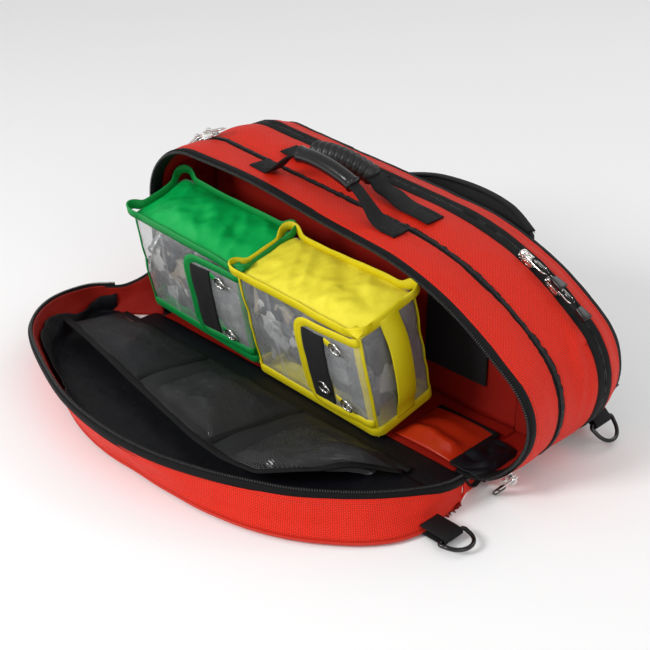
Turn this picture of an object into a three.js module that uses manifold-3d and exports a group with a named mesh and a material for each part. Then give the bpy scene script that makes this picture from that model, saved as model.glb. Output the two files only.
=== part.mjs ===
// Trauma backpack: a soft clamshell bag standing on its long side, front opened flat, two window pouches inside.
// Millimetres. +X runs to the worn top of the bag, +Y to the wearer's back, +Z up; the origin is on the ground.
import * as THREE from "three";
import { mergeVertices } from "three/addons/utils/BufferGeometryUtils.js";
import Module from "manifold-3d";

const wasm = await Module();
wasm.setup();

// ---- Driving dimensions ----
const gap = 0.4; // between touching pieces
const wall = 4; // padded fabric
const bodyLeft = -260; // outside of the bag's base end
const endCentre = [189.5, 72.5]; // round worn top, which reaches down to the ground
const endRadius = 72.5;
const endAngle = 50; // where the round end runs into the shoulder, degrees
const shoulderRadius = 300;
const topAngle = 86; // where the shoulder runs into the almost flat top
const cornerRadius = 68; // upper corner of the base end
const footRadius = 14; // lower corner of the base end
const frontDepth = 54; // opening to expansion zip
const middleDepth = 120; // opening to rear zip
const backDepth = 158; // opening to back panel
const openingEdge = 3; // front edge of the front gusset
const dividerY = 90;

const spine = 30; // floor strip in front of the opening, up to the lid's hinge
const hingeHeight = 1.75;
const lidAngle = 84; // how far the lid turns to close
const lidRim = 29; // zip plane of the lid, from its hinge line, when closed
const lidLeft = -290;
const lidTop = 211;
const lidEndCentre = [184, 46];
const lidEndRadius = 62;
const doorHinge = 157;

const zipThick = 2.2;
const zipWidth = 9;
const sliderLength = 21;
const sliderWidth = 11;
const sliderHeight = 5;
const pullLength = 33;
const pullWidth = 10.5;
const wire = 2.2;
const pullLift = 0.8; // room for the wire to turn in

const pouchSize = [166, 78, 137];
const pouchLean = 14; // degrees forward
const pouchHinge = [-6, 6.2]; // Y and Z of the lower front edge
const pouchCentres = { green: -163, yellow: 14 };
const vinyl = 1.5;
const binding = 11;
const flapWidth = 76;
const flapFoot = 24;

const webbing = 25;
const webThick = 2.4;
const handles = {
  front: { from: -92, to: 54, y: 31, rise: 37, grip: [-52, 16], gripRadius: 8.5 },
  rear: { from: -100, to: 58, y: 80, rise: 19, grip: [-80, -2], gripRadius: 12 },
};
const strapWidth = 62;
const strapThick = 12;

// ---- Materials ----
const paint = (color, roughness, metalness = 0) =>
  new THREE.MeshStandardMaterial({ color, roughness, metalness });
const look = {
  red: () => paint(0xc8281a, 0.8),
  lining: () => paint(0x7a140c, 0.8),
  black: () => paint(0x141414, 0.8),
  rubber: () => paint(0x1b1b1d, 0.5),
  chrome: () => paint(0xc9c9cc, 0.25, 1),
  mesh: () => paint(0x2a2a2e, 0.9),
  green: () => paint(0x0b8a3a, 0.75),
  yellow: () => paint(0xe2cf1c, 0.75),
  vinyl: () => paint(0xb9b9b6, 0.2),
  coated: () => paint(0xc5301c, 0.4),
};

// ---- Shapes ----
const rad = THREE.MathUtils.degToRad;
const group = new THREE.Group();

function node(name, geometry, material, parent = group) {
  const mesh = new THREE.Mesh(geometry, material);
  mesh.name = name;
  parent.add(mesh);
  return mesh;
}

function solid(geometry) {
  const bare = geometry.index ? geometry.toNonIndexed() : geometry.clone();
  bare.deleteAttribute("normal");
  bare.deleteAttribute("uv");
  const merged = mergeVertices(bare, 1e-3);
  return new wasm.Manifold(
    new wasm.Mesh({
      numProp: 3,
      vertProperties: merged.attributes.position.array,
      triVerts: new Uint32Array(merged.index.array),
    }),
  );
}

function geometryOf(manifold) {
  const mesh = manifold.getMesh();
  return new THREE.BufferGeometry()
    .setAttribute("position", new THREE.BufferAttribute(mesh.vertProperties, 3))
    .setIndex(new THREE.BufferAttribute(mesh.triVerts, 1));
}

function joined(...parts) {
  return geometryOf(parts.map(solid).reduce((a, b) => a.add(b)));
}

function box(x0, x1, y0, y1, z0, z1) {
  return new THREE.BoxGeometry(x1 - x0, y1 - y0, z1 - z0).translate(
    (x0 + x1) / 2,
    (y0 + y1) / 2,
    (z0 + z1) / 2,
  );
}

// Points moved inwards by d, for an outline that runs clockwise seen from -Y.
function inset(points, d) {
  return points.map((p, i) => {
    const before = points[Math.max(i - 1, 0)];
    const after = points[Math.min(i + 1, points.length - 1)];
    const along = after.clone().sub(before).normalize();
    return new THREE.Vector2(p.x + along.y * d, p.y - along.x * d);
  });
}

const pointOn = (centre, radius, angle) =>
  new THREE.Vector2(
    centre[0] + radius * Math.cos(rad(angle)),
    centre[1] + radius * Math.sin(rad(angle)),
  );

function arc(centre, radius, from, to, steps) {
  return Array.from({ length: steps + 1 }, (_, i) =>
    pointOn(centre, radius, from + ((to - from) * i) / steps),
  );
}

// The bag's arch from its foot at the base end, over the top, to the foot of the round end.
const shoulderStart = pointOn(endCentre, endRadius - shoulderRadius, endAngle);
const shoulderCentre = [shoulderStart.x, shoulderStart.y];
const shoulderTop = pointOn(shoulderCentre, shoulderRadius, topAngle);
const cornerX = bodyLeft + cornerRadius;
const run = shoulderTop.x - cornerX - cornerRadius * Math.cos(rad(topAngle));
const cornerZ =
  shoulderTop.y + run / Math.tan(rad(topAngle)) - cornerRadius * Math.sin(rad(topAngle));
const corner = [cornerX, cornerZ];
const footX = bodyLeft + footRadius;

function arch(d, { startFoot = 270, startZ = null, endAt = -90 } = {}) {
  const foot = arc([footX, footRadius], footRadius - d, startFoot, 180, 4);
  const start = startZ === null ? foot : [new THREE.Vector2(bodyLeft + d, startZ)];
  return [
    ...start,
    ...arc(corner, cornerRadius - d, 180, topAngle, 8),
    ...arc(shoulderCentre, shoulderRadius - d, topAngle, endAngle, 9).slice(1),
    ...arc(endCentre, endRadius - d, endAngle, endAt, 12).slice(1),
  ];
}

// A band between two offsets of an outline, standing from y0 to y1.
function band(outer, inner, y0, y1) {
  const shape = new THREE.Shape([...outer, ...inner.slice().reverse()]);
  const geometry = new THREE.ExtrudeGeometry(shape, { depth: y1 - y0, bevelEnabled: false });
  return geometry.rotateX(Math.PI / 2).translate(0, y1, 0);
}

// A flat sheet with the outline in X and Z, standing from y0 to y1.
function sheet(points, y0, y1) {
  const geometry = new THREE.ExtrudeGeometry(new THREE.Shape(points), {
    depth: y1 - y0,
    bevelEnabled: false,
  });
  return geometry.rotateX(Math.PI / 2).translate(0, y1, 0);
}

// ---- Bag body ----
node(
  "floor_panel",
  box(footX + gap, endCentre[0] - gap, -spine + 3.5, doorHinge - 1.2, 0, wall),
  look.red(),
);
const gussets = {
  front_gusset: [openingEdge, frontDepth - gap],
  mid_gusset: [frontDepth + gap, middleDepth - gap],
};
for (const [name, [y0, y1]] of Object.entries(gussets))
  node(name, band(arch(0), arch(wall), y0, y1), look.red());

const dividerInset = wall + 0.6;
node(
  "divider_panel",
  sheet(
    arch(dividerInset, { startZ: 20, endAt: -30 }),
    dividerY,
    dividerY + 3,
  ),
  look.lining(),
);
node("loop_panel", box(70, 150, dividerY - gap - 1.5, dividerY - gap, 40, 150), look.black());

const zipArch = { startZ: 34, endAt: -38 };
node(
  "main_zip_body",
  band(arch(-1, zipArch), arch(wall, zipArch), -gap, openingEdge - gap),
  look.black(),
);
const overWall = -gap - zipThick;
const outerBand = (y0, y1, ends) =>
  band(arch(overWall, ends), arch(-gap, ends), y0, y1);
const seamY = 49;
node("expansion_zip", outerBand(seamY, seamY + zipWidth, { startZ: 60, endAt: -30 }), look.black());
const rearZip = { startZ: 60, endAt: -40 };
const rearEdge = middleDepth - gap;
node("rear_zip_body", outerBand(rearEdge - zipWidth, rearEdge, rearZip), look.black());

// ---- Zip sliders, each in a frame with X along the zip and Z out of the bag ----
function slider(name, centre, radius, angle, y, turnedBack = false) {
  const seat = new THREE.Group();
  seat.position.set(
    centre[0] + radius * Math.cos(rad(angle)),
    y,
    centre[1] + radius * Math.sin(rad(angle)),
  );
  seat.rotation.y = rad(90 - angle);
  group.add(seat);
  const way = new THREE.Group(); // the pull lies clockwise from the slider unless it is turned back
  way.rotation.z = turnedBack ? Math.PI : 0;
  seat.add(way);
  const half = sliderLength / 2;
  const plate = box(-half, half, -sliderWidth / 2, sliderWidth / 2, 0, sliderHeight);
  const bridge = box(-6, 2, -1.7, 1.7, sliderHeight - 1, sliderHeight + 4.2);
  node(`${name}_slider`, joined(plate, bridge), look.chrome(), way);
  const pull = node(`${name}_pull`, roundedRing(pullLength, pullWidth, wire, wire), look.chrome(), way);
  pull.position.set(-8.5, 0, sliderHeight + pullLift + wire / 2);
}

function roundedRing(length, width, bar, thick) {
  const ring = new THREE.Shape();
  const path = (target, d) => {
    const r = width / 2 - d;
    target.moveTo(d, -r);
    target.lineTo(length - width / 2, -r);
    target.absarc(length - width / 2, 0, r, -Math.PI / 2, Math.PI / 2, false);
    target.lineTo(d, r);
    target.closePath();
  };
  path(ring, 0);
  const hole = new THREE.Path();
  path(hole, bar);
  ring.holes.push(hole);
  const geometry = new THREE.ExtrudeGeometry(ring, {
    depth: thick,
    bevelEnabled: false,
    curveSegments: 6,
  });
  return geometry.translate(-bar / 2, 0, -thick / 2);
}

const onWall = -overWall + 0.3; // how far a slider's underside stands off the wall
const openingY = -2;
const expansionY = seamY + zipWidth / 2;
const rearY = rearEdge - zipWidth / 2;
const mainRun = 1.6; // the main sliders ride over the zip's edge
slider("main_right", endCentre, endRadius + mainRun, -38, openingY);
slider("main_left", [corner[0], 62], cornerRadius + mainRun, 180, openingY, true);
slider("expansion_left", corner, cornerRadius + onWall, 133, expansionY, true);
slider("expansion_right", corner, cornerRadius + onWall, 111, expansionY);
slider("rear_upper", shoulderCentre, shoulderRadius + onWall, 66, rearY);
slider("rear_lower", shoulderCentre, shoulderRadius + onWall, 59.2, rearY);

// ---- Carry handles ----
const topAt = (x) => shoulderTop.y + (shoulderTop.x - x) / Math.tan(rad(topAngle));

for (const [name, h] of Object.entries(handles)) {
  const handle = new THREE.Group();
  handle.position.set(0, h.y, 0);
  group.add(handle);
  const foot = (x) => topAt(x) + 4;
  const height = (x) => foot(x) + h.rise;
  const centreLine = [
    [h.from, foot(h.from)],
    [h.from + (h.grip[0] - h.from) * 0.45, foot(h.from) + h.rise * 0.72],
    [h.grip[0], height(h.grip[0])],
    [h.grip[1], height(h.grip[1])],
    [h.to - (h.to - h.grip[1]) * 0.45, foot(h.to) + h.rise * 0.6],
    [h.to, foot(h.to)],
  ].map(([x, z]) => new THREE.Vector2(x, z));
  const upper = inset(centreLine, -webThick / 2);
  const lower = inset(centreLine, webThick / 2);
  const strap = new THREE.ExtrudeGeometry(new THREE.Shape([...upper, ...lower.reverse()]), {
    depth: 6,
    bevelEnabled: false,
  });
  node(`${name}_handle_strap`, strap.rotateX(Math.PI / 2).translate(0, 3, 0), look.black(), handle);

  const length = h.grip[1] - h.grip[0] - 4;
  const section = new THREE.Shape().absarc(0, 0, h.gripRadius, 0, 2 * Math.PI);
  section.holes.push(new THREE.Path().absarc(0, 0, h.gripRadius - 3, 0, 2 * Math.PI));
  const tube = new THREE.ExtrudeGeometry(section, {
    depth: length,
    bevelEnabled: false,
    curveSegments: 10,
  });
  tube.translate(0, 0, -length / 2).rotateY(Math.PI / 2);
  const grip = node(
    name === "front" ? "front_handle_tube" : "rear_handle_grip",
    tube,
    look.rubber(),
    handle,
  );
  const middle = (h.grip[0] + h.grip[1]) / 2;
  grip.position.set(middle, 0, height(middle));
  grip.rotation.y = rad(90 - topAngle);
}

// ---- Front lid, drawn closed in a group that is turned open about the hinge line ----
const lidArcFrom = 30;
const lidShoulder = pointOn(lidEndCentre, lidEndRadius, lidArcFrom);
const lidPath = new THREE.Path();
lidPath.moveTo(lidLeft + 6, 9);
lidPath.lineTo(lidLeft, 60);
lidPath.bezierCurveTo(lidLeft, 170, -220, lidTop, -110, lidTop);
lidPath.bezierCurveTo(40, lidTop, lidShoulder.x - 20, lidShoulder.y + 34.6, ...lidShoulder.toArray());
lidPath.absarc(...lidEndCentre, lidEndRadius, rad(lidArcFrom), rad(-36), true);
const lidOutline = lidPath.getPoints(12);

const lid = new THREE.Group();
lid.position.set(0, -spine, hingeHeight);
lid.rotation.x = rad(lidAngle);
group.add(lid);

// Everything of a closed-frame wall that would reach below the open lid's floor.
const floorCut = box(-400, 400, -400, 200, -200, 1.5 + gap).rotateX(rad(-lidAngle));
const lidWall = band(lidOutline, inset(lidOutline, wall), -60, lidRim - 3 - gap);
node(
  "lid_gusset",
  geometryOf(solid(lidWall).subtract(solid(floorCut))),
  look.red(),
  lid,
);
node(
  "main_zip_lid",
  band(inset(lidOutline, -1), inset(lidOutline, 5), lidRim - 3, lidRim),
  look.black(),
  lid,
);

const openLid = new THREE.Group(); // the lid's own floor frame, lying open
openLid.position.set(0, -spine, hingeHeight);
group.add(openLid);
const panelNear = 2.5;
const panelPoints = lidOutline.map((p) => new THREE.Vector2(p.x, -p.y));
panelPoints.unshift(new THREE.Vector2(lidLeft + 8, -panelNear));
panelPoints.push(new THREE.Vector2(lidOutline.at(-1).x - 8, -panelNear));
const flat = (points, thick) =>
  new THREE.ExtrudeGeometry(new THREE.Shape(points.slice().reverse()), {
    depth: thick,
    bevelEnabled: false,
  });
node("lid_panel", flat(panelPoints, 2.9).translate(0, 0, -1.4), look.red(), openLid);

// Mesh pockets: sheets that rise from the hinge side to their open mouths.
const pocketRise = 10; // degrees
const pocketFoot = 6; // from the hinge line
const pocketFan = {
  left: [[-278, 0], [-140, 0], [-132, -99], [-278, -76]],
  middle: [[-136, 0], [10, 0], [14, -118], [-128, -100]],
  right: [[14, 0], [172, 0], [150, -62], [84, -118], [18, -119]],
};
for (const [name, points] of Object.entries(pocketFan)) {
  const pocket = new THREE.Group();
  pocket.position.set(0, -pocketFoot, 3.4);
  pocket.rotation.x = rad(-pocketRise);
  openLid.add(pocket);
  const outline = points.map(([x, y]) => new THREE.Vector2(x, y)).reverse();
  node(`pocket_${name}`, flat(outline.reverse(), 1.6), look.mesh(), pocket);
}

// ---- D-rings, each on a webbing tab ----
const corners = (left, right, half) =>
  [[left, -half], [right, -half], [right, half], [left, half]].map(([x, z]) => new THREE.Vector2(x, z));

function ringOnTab(name, place, turn) {
  const seat = new THREE.Group();
  seat.position.set(...place);
  seat.rotation.y = rad(turn);
  group.add(seat);
  const tab = new THREE.Shape(corners(-7, 4.8, 4.3));
  tab.holes.push(new THREE.Path(corners(-3.1, 3.1, 3.1)));
  const loop = new THREE.ExtrudeGeometry(tab, { depth: webbing, bevelEnabled: false });
  node(`${name}_ring_tab`, loop.rotateX(Math.PI / 2).translate(0, webbing / 2, 0), look.black(), seat);
  node(`${name}_d_ring`, roundedRing(26, 36, 4, 4), look.rubber(), seat);
}
ringOnTab("lid", [253.5, -85, 6.5], 0);
const ringSeat = pointOn(endCentre, endRadius + 7.8, -40);
ringOnTab("door", [ringSeat.x, 144, ringSeat.y], 40);

// ---- Rear door: gusset, zip, back panel and harness ----
node("rear_gusset", band(arch(0), arch(wall), middleDepth + gap, doorHinge), look.red());
node("rear_zip_door", outerBand(middleDepth + gap, middleDepth + gap + zipWidth, rearZip), look.black());
node("back_panel", sheet(arch(2), doorHinge + gap, doorHinge + gap + 3), look.black());

const backFace = doorHinge + gap + 3 + gap;
const strapCurve = new THREE.QuadraticBezierCurve(
  new THREE.Vector2(132, backFace),
  new THREE.Vector2(40, backFace + 52),
  new THREE.Vector2(-112, backFace),
);
const strapLine = strapCurve.getPoints(12);
const webLine = [
  [-118, backFace + 1],
  [-150, backFace + 5],
  [-210, backFace + 5],
  [-236, backFace + 1],
].map(([x, y]) => new THREE.Vector2(x, y));
function ribbon(points, thick, z0, z1) {
  const outer = inset(points, thick);
  const shape = new THREE.Shape([...points, ...outer.reverse()]);
  return new THREE.ExtrudeGeometry(shape, { depth: z1 - z0, bevelEnabled: false }).translate(0, 0, z0);
}
for (const [name, z] of Object.entries({ upper: 128, lower: 30 })) {
  const middle = z + strapWidth / 2;
  node(`shoulder_strap_${name}`, ribbon(strapLine, strapThick, z, z + strapWidth), look.black());
  node(
    `strap_webbing_${name}`,
    ribbon(webLine, webThick, middle - webbing / 2, middle + webbing / 2),
    look.black(),
  );
}

// ---- Window pouches ----
function tray(x0, x1, y0, y1, z0, z1, thick, openUp) {
  const inside = openUp
    ? box(x0 + thick, x1 - thick, y0 + thick, y1 - thick, z0 + thick, z1 + 5)
    : box(x0 + thick, x1 - thick, y0 + thick, y1 - thick, z0 - 5, z1 - thick);
  return geometryOf(solid(box(x0, x1, y0, y1, z0, z1)).subtract(solid(inside)));
}

for (const [name, centre] of Object.entries(pouchCentres)) {
  const cloth = look[name];
  const pouch = new THREE.Group();
  pouch.position.set(centre, ...pouchHinge);
  pouch.rotation.x = rad(pouchLean);
  group.add(pouch);
  const [width, depth, height] = pouchSize;
  const half = width / 2;
  node(`${name}_hold_strip`, box(-half + 8, half - 8, 4, depth - 6, -1.8, -0.5), look.black(), pouch);
  node(`${name}_base`, tray(-half, half, 0, depth, 0, binding, 2, true), cloth(), pouch);
  node(`${name}_top`, tray(-half, half, 0, depth, height - binding, height, 2, false), cloth(), pouch);

  const outline = [[-half, 0], [half, 0], [half, depth], [-half, depth]];
  const ring = new THREE.Shape(outline.map(([x, y]) => new THREE.Vector2(x, y)));
  const edge = outline.map(([x, y]) => [x - Math.sign(x) * vinyl, y === 0 ? vinyl : depth - vinyl]);
  ring.holes.push(new THREE.Path(edge.map(([x, y]) => new THREE.Vector2(x, y))));
  const windows = new THREE.ExtrudeGeometry(ring, {
    depth: height - 2 * binding - 2 * gap,
    bevelEnabled: false,
  });
  node(`${name}_windows`, windows.translate(0, 0, binding + gap), look.vinyl(), pouch);
  node(
    `${name}_contents`,
    box(-half + 8, half - 8, 6, depth - 8, 2 + gap, height - 14),
    look.vinyl(),
    pouch,
  );

  const strapEnd = half + gap;
  const bow = [
    [strapEnd, 2],
    [strapEnd + 7, 24],
    [strapEnd + 7, height - 24],
    [strapEnd, height - 2],
  ].map(([x, z]) => new THREE.Vector2(x, z));
  const strapShape = new THREE.Shape([...bow, ...inset(bow, 2).reverse()]);
  const strap = new THREE.ExtrudeGeometry(strapShape, { depth: webbing, bevelEnabled: false });
  node(`${name}_end_handle`, strap.rotateX(Math.PI / 2).translate(0, depth / 2 + 12, 0), cloth(), pouch);

  node(
    `${name}_flap`,
    box(half - flapWidth, half, -gap - 1.6, -gap, flapFoot, height - 14),
    look.vinyl(),
    pouch,
  );
}

// ---- Loose lining flap that shows on the compartment's floor ----
node("floor_flap", box(112, 178, 8, 70, wall + gap, wall + gap + 2), look.coated());

export default group;
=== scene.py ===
import math
import random

import bmesh
import bpy
from mathutils import Matrix, Vector, noise


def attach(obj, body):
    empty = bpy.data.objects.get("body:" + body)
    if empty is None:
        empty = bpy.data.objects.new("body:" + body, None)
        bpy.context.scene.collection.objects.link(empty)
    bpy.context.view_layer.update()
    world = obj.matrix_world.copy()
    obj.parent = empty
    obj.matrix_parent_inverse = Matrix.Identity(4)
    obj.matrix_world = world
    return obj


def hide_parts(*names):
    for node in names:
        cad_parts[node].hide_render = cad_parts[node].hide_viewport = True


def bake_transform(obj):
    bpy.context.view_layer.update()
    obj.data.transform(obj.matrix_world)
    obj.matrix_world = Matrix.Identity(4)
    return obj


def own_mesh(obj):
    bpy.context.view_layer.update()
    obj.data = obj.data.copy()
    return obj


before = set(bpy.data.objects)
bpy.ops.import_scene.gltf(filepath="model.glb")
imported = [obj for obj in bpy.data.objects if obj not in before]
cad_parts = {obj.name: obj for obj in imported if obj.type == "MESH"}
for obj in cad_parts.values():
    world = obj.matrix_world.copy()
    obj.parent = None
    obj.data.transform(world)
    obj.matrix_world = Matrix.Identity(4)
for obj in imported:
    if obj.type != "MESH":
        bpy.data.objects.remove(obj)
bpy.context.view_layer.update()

mm = 0.001
random.seed(11)
scene = bpy.context.scene


# small helpers

def mix(a, b, t):
    return a + (b - a) * t


def smooth(t):
    t = max(0.0, min(1.0, t))
    return t * t * (3 - 2 * t)


def hill(x, middle, width):
    return math.exp(-((x - middle) / width) ** 2)


def rough(x, y, z, size, seed=0.0):
    # smooth noise from -1 to 1 with bumps about size millimetres across
    return noise.noise(Vector((x / size + seed, y / size - seed, z / size + 2 * seed)))


def lineLength(points):
    return sum((b - a).length for a, b in zip(points, points[1:]))


def axes(x, y, z):
    # the turn that carries the three axes to these directions
    return Matrix((x, y, z)).transposed().to_4x4()


def addBlock(bm, place, size, turn=Matrix()):
    # a box of a size around a place
    box = Matrix.Translation(place) @ turn @ Matrix.Diagonal((*size, 1))
    return bmesh.ops.create_cube(bm, size=1.0, matrix=box)


def softenEdges(bm, width, segments=2, **more):
    bmesh.ops.bevel(bm, geom=list(bm.edges), offset=width, segments=segments, profile=0.5,
                    affect="EDGES", material=-1, **more)


def divideLong(bm, limit, cuts):
    # splits each edge that is longer than the limit
    wanted = [edge for edge in bm.edges if edge.calc_length() > limit]
    bmesh.ops.subdivide_edges(bm, edges=wanted, cuts=cuts, use_grid_fill=True)


def ringAngles(count):
    # evenly spaced angles of a full turn
    return [2 * math.pi * k / count for k in range(count)]


def newPiece(name, bm, body, slot, materials, replaced=(), bend=None):
    # turns a bmesh in millimetres into a finished piece that rides on its body
    bmesh.ops.scale(bm, vec=(mm, mm, mm), verts=bm.verts)
    mesh = bpy.data.meshes.new(name)
    bm.to_mesh(mesh)
    bm.free()
    piece = bpy.data.objects.new(name, mesh)
    scene.collection.objects.link(piece)
    for material in materials:
        mesh.materials.append(material)
    mesh.shade_smooth()
    if bend:
        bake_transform(piece)
    elif body:
        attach(piece, body)
    if replaced:
        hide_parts(*replaced)
    return piece


def addModifier(piece, kind, **settings):
    modifier = piece.modifiers.new(kind.title(), kind)
    for key, value in settings.items():
        setattr(modifier, key, value)
    return modifier


def thicken(piece, thickness, offset=-1.0, innerSlot=0):
    return addModifier(piece, "SOLIDIFY", thickness=thickness * mm, offset=offset,
                       material_offset=innerSlot, material_offset_rim=0, use_quality_normals=True)


def subdivide(piece, level=1):
    return addModifier(piece, "SUBSURF", levels=level, render_levels=level)


def bentGrid(across, along, place, size=(1.0, 1.0), inside=None):
    # a flat grid moved to place(u, v), with a UV map in millimetres; it faces away from inside
    bm = bmesh.new()
    bmesh.ops.create_grid(bm, x_segments=across, y_segments=along, size=0.5)
    uvLayer = bm.loops.layers.uv.new("cloth")
    spots = {vert: (vert.co.x + 0.5, vert.co.y + 0.5) for vert in bm.verts}
    for face in bm.faces:
        for loop in face.loops:
            u, v = spots[loop.vert]
            loop[uvLayer].uv = (u * size[0], v * size[1])
    for vert, (u, v) in spots.items():
        vert.co = Vector(place(u, v))
    bm.normal_update()
    if inside is not None:
        away = sum(face.normal.dot(face.calc_center_median() - Vector(inside)) for face in bm.faces)
        if away < 0:
            bmesh.ops.reverse_faces(bm, faces=bm.faces)
    return bm


def frames(points, up=None):
    # a tangent, side and normal at each point of a line, carried along without twist
    points = [Vector(p) for p in points]
    result = []
    normal = Vector(up) if up else None
    for i, p in enumerate(points):
        tangent = (points[min(i + 1, len(points) - 1)] - points[max(i - 1, 0)]).normalized()
        if normal is None:
            normal = tangent.orthogonal()
        if up is not None:
            normal = Vector(up)
        normal = (normal - tangent * normal.dot(tangent)).normalized()
        result.append((p, tangent, tangent.cross(normal), normal))
    return result


def resample(points, count):
    points = [Vector(p) for p in points]
    lengths = [0.0]
    for a, b in zip(points, points[1:]):
        lengths.append(lengths[-1] + (b - a).length)
    result, j = [], 0
    for i in range(count + 1):
        want = lengths[-1] * i / count
        while j < len(points) - 2 and lengths[j + 1] < want:
            j += 1
        span = max(lengths[j + 1] - lengths[j], 1e-9)
        result.append(points[j].lerp(points[j + 1], (want - lengths[j]) / span))
    return result


def curveThrough(points, count, closed=False):
    # a smooth line through a few points
    points = [Vector(p) for p in points]
    n = len(points)
    result = []
    spans = n if closed else n - 1
    for i in range(spans):
        p1, p2 = points[i], points[(i + 1) % n]
        p0 = points[i - 1] if closed or i else p1 * 2 - p2
        p3 = points[(i + 2) % n] if closed or i < n - 2 else p2 * 2 - p1
        for k in range(12):
            t = k / 12
            result.append(0.5 * (2 * p1 + (p2 - p0) * t + (2 * p0 - 5 * p1 + 4 * p2 - p3) * t * t
                                 + (3 * p1 - p0 - 3 * p2 + p3) * t ** 3))
    result.append(points[0] if closed else points[-1])
    return resample(result, count)


def sweep(bm, points, section, ups=None, closed=False, scaleAt=None):
    # carries a closed section of (side, normal) points along a line and closes its ends
    rows = frames(points)
    if ups:
        rows = []
        for i, p in enumerate(points):
            p = Vector(p)
            last = len(points) - 1
            before = points[i - 1] if i or closed else points[0]
            after = points[(i + 1) % len(points)] if i < last or closed else points[last]
            tangent = (Vector(after) - Vector(before)).normalized()
            up = Vector(ups[i] if isinstance(ups, list) else ups)
            up = (up - tangent * up.dot(tangent)).normalized()
            rows.append((p, tangent, tangent.cross(up), up))
    uvLayer = bm.loops.layers.uv.get("cloth") or bm.loops.layers.uv.new("cloth")
    rings, run, runs = [], 0.0, []
    for i, (p, tangent, side, up) in enumerate(rows):
        if i:
            run += (p - rows[i - 1][0]).length
        runs.append(run)
        grow = scaleAt(i / (len(rows) - 1)) if scaleAt else (1.0, 1.0)
        rings.append([bm.verts.new(p + side * a * grow[0] + up * b * grow[1]) for a, b in section])
    count = len(section)
    around = [0.0]
    for k in range(count):
        a, b = section[k], section[(k + 1) % count]
        around.append(around[-1] + math.hypot(b[0] - a[0], b[1] - a[1]))
    pairs = list(zip(range(len(rings) - 1), range(1, len(rings))))
    if closed:
        pairs.append((len(rings) - 1, 0))
    for i, j in pairs:
        far = runs[j] if j > i else runs[i] + (rows[0][0] - rows[i][0]).length
        for k in range(count):
            m = (k + 1) % count
            face = bm.faces.new((rings[i][k], rings[i][m], rings[j][m], rings[j][k]))
            spots = ((runs[i], around[k]), (runs[i], around[k + 1]), (far, around[k + 1]), (far, around[k]))
            for loop, spot in zip(face.loops, spots):
                loop[uvLayer].uv = spot
    if not closed:
        bm.faces.new(rings[0])
        bm.faces.new(list(reversed(rings[-1])))
    bmesh.ops.recalc_face_normals(bm, faces=bm.faces)
    return rings


def swept(points, section, **more):
    # a new mesh with one section carried along one line
    bm = bmesh.new()
    sweep(bm, points, section, **more)
    return bm


def roundSection(radius, sides=10):
    return [(radius * math.cos(a), radius * math.sin(a)) for a in ringAngles(sides)]


def flatSection(width, thick, edge=0.35):
    # a webbing section with soft edges
    w, t = width / 2, thick / 2
    e = min(edge * thick + 0.2, t)
    return [(-w, -t + e), (-w + e, -t), (0, -t), (w - e, -t), (w, -t + e), (w, t - e), (w - e, t), (0, t),
            (-w + e, t), (-w, t - e)]


def tube(name, points, radius, body, slot, material, sides=10, closed=False, **more):
    bm = swept(points, roundSection(radius, sides), closed=closed)
    return newPiece(name, bm, body, slot, [material], **more)


def strip(name, points, ups, width, thick, body, slot, material, **more):
    bm = swept(points, flatSection(width, thick), ups=ups)
    return newPiece(name, bm, body, slot, [material], **more)


def webbing(name, points, ups, width, thick, body, **more):
    return strip(name, points, ups, width, thick, body, "black_webbing", webbingBlack, **more)


def stitches(name, lines, body, slot, material, pitch=3.2, length=2.2, thick=0.5, bend=None):
    # rows of short thread stitches along lines of (point, up) pairs
    bm = bmesh.new()
    for line in lines:
        points = [Vector(p) for p, _ in line]
        total = lineLength(points)
        count = max(2, int(total / pitch))
        spots = resample(points, count * 2)
        ups = [Vector(line[min(len(line) - 1, round(i * (len(line) - 1) / (count * 2)))][1])
               for i in range(count * 2 + 1)]
        for i in range(0, count * 2, 2):
            way = spots[i + 1] - spots[i]
            if way.length < 1e-6:
                continue
            way.normalize()
            up = (ups[i] - way * ups[i].dot(way)).normalized()
            turn = axes(way, up.cross(way), up)
            middle = (spots[i] + spots[i + 1]) / 2
            made = addBlock(bm, middle, (length, thick, thick), turn)
            ends = [v for v in made["verts"] if abs((v.co - middle).dot(way)) > length * 0.4]
            for v in ends:
                v.co -= up * thick * 0.35
    return newPiece(name, bm, body, slot, [material], bend=bend)


# materials

def newMaterial(name, colour, roughness, metallic=0.0, **sockets):
    made = bpy.data.materials.new(name)
    made.use_nodes = True
    shader = made.node_tree.nodes["Principled BSDF"]
    shader.inputs["Base Color"].default_value = (*colour, 1)
    shader.inputs["Roughness"].default_value = roughness
    shader.inputs["Metallic"].default_value = metallic
    for key, value in sockets.items():
        shader.inputs[key].default_value = value
    made.diffuse_color = (*colour, 1)
    return made, made.node_tree, shader


def addNode(tree, kind, inputs=(), **settings):
    # a node whose inputs are given in order; each is a value, a socket to link or None
    node = tree.nodes.new(kind)
    for key, value in settings.items():
        setattr(node, key, value)
    for socket, value in zip(node.inputs, inputs):
        if isinstance(value, bpy.types.NodeSocket):
            tree.links.new(value, socket)
        elif value is not None:
            socket.default_value = value
    return node


def sums(tree, operation, *inputs):
    return addNode(tree, "ShaderNodeMath", inputs, operation=operation).outputs[0]


def clothCoordinates(tree):
    # the cloth's own U and V in millimetres
    source = addNode(tree, "ShaderNodeUVMap", uv_map="cloth")
    apart = addNode(tree, "ShaderNodeSeparateXYZ", (source.outputs[0],))
    return source.outputs[0], apart.outputs[0], apart.outputs[1]


def objectNoise(tree, scale, detail=3.0, roughness=0.55):
    source = addNode(tree, "ShaderNodeTexCoord")
    inputs = (source.outputs["Object"], None, scale, detail, roughness)
    return addNode(tree, "ShaderNodeTexNoise", inputs).outputs[0]


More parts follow.
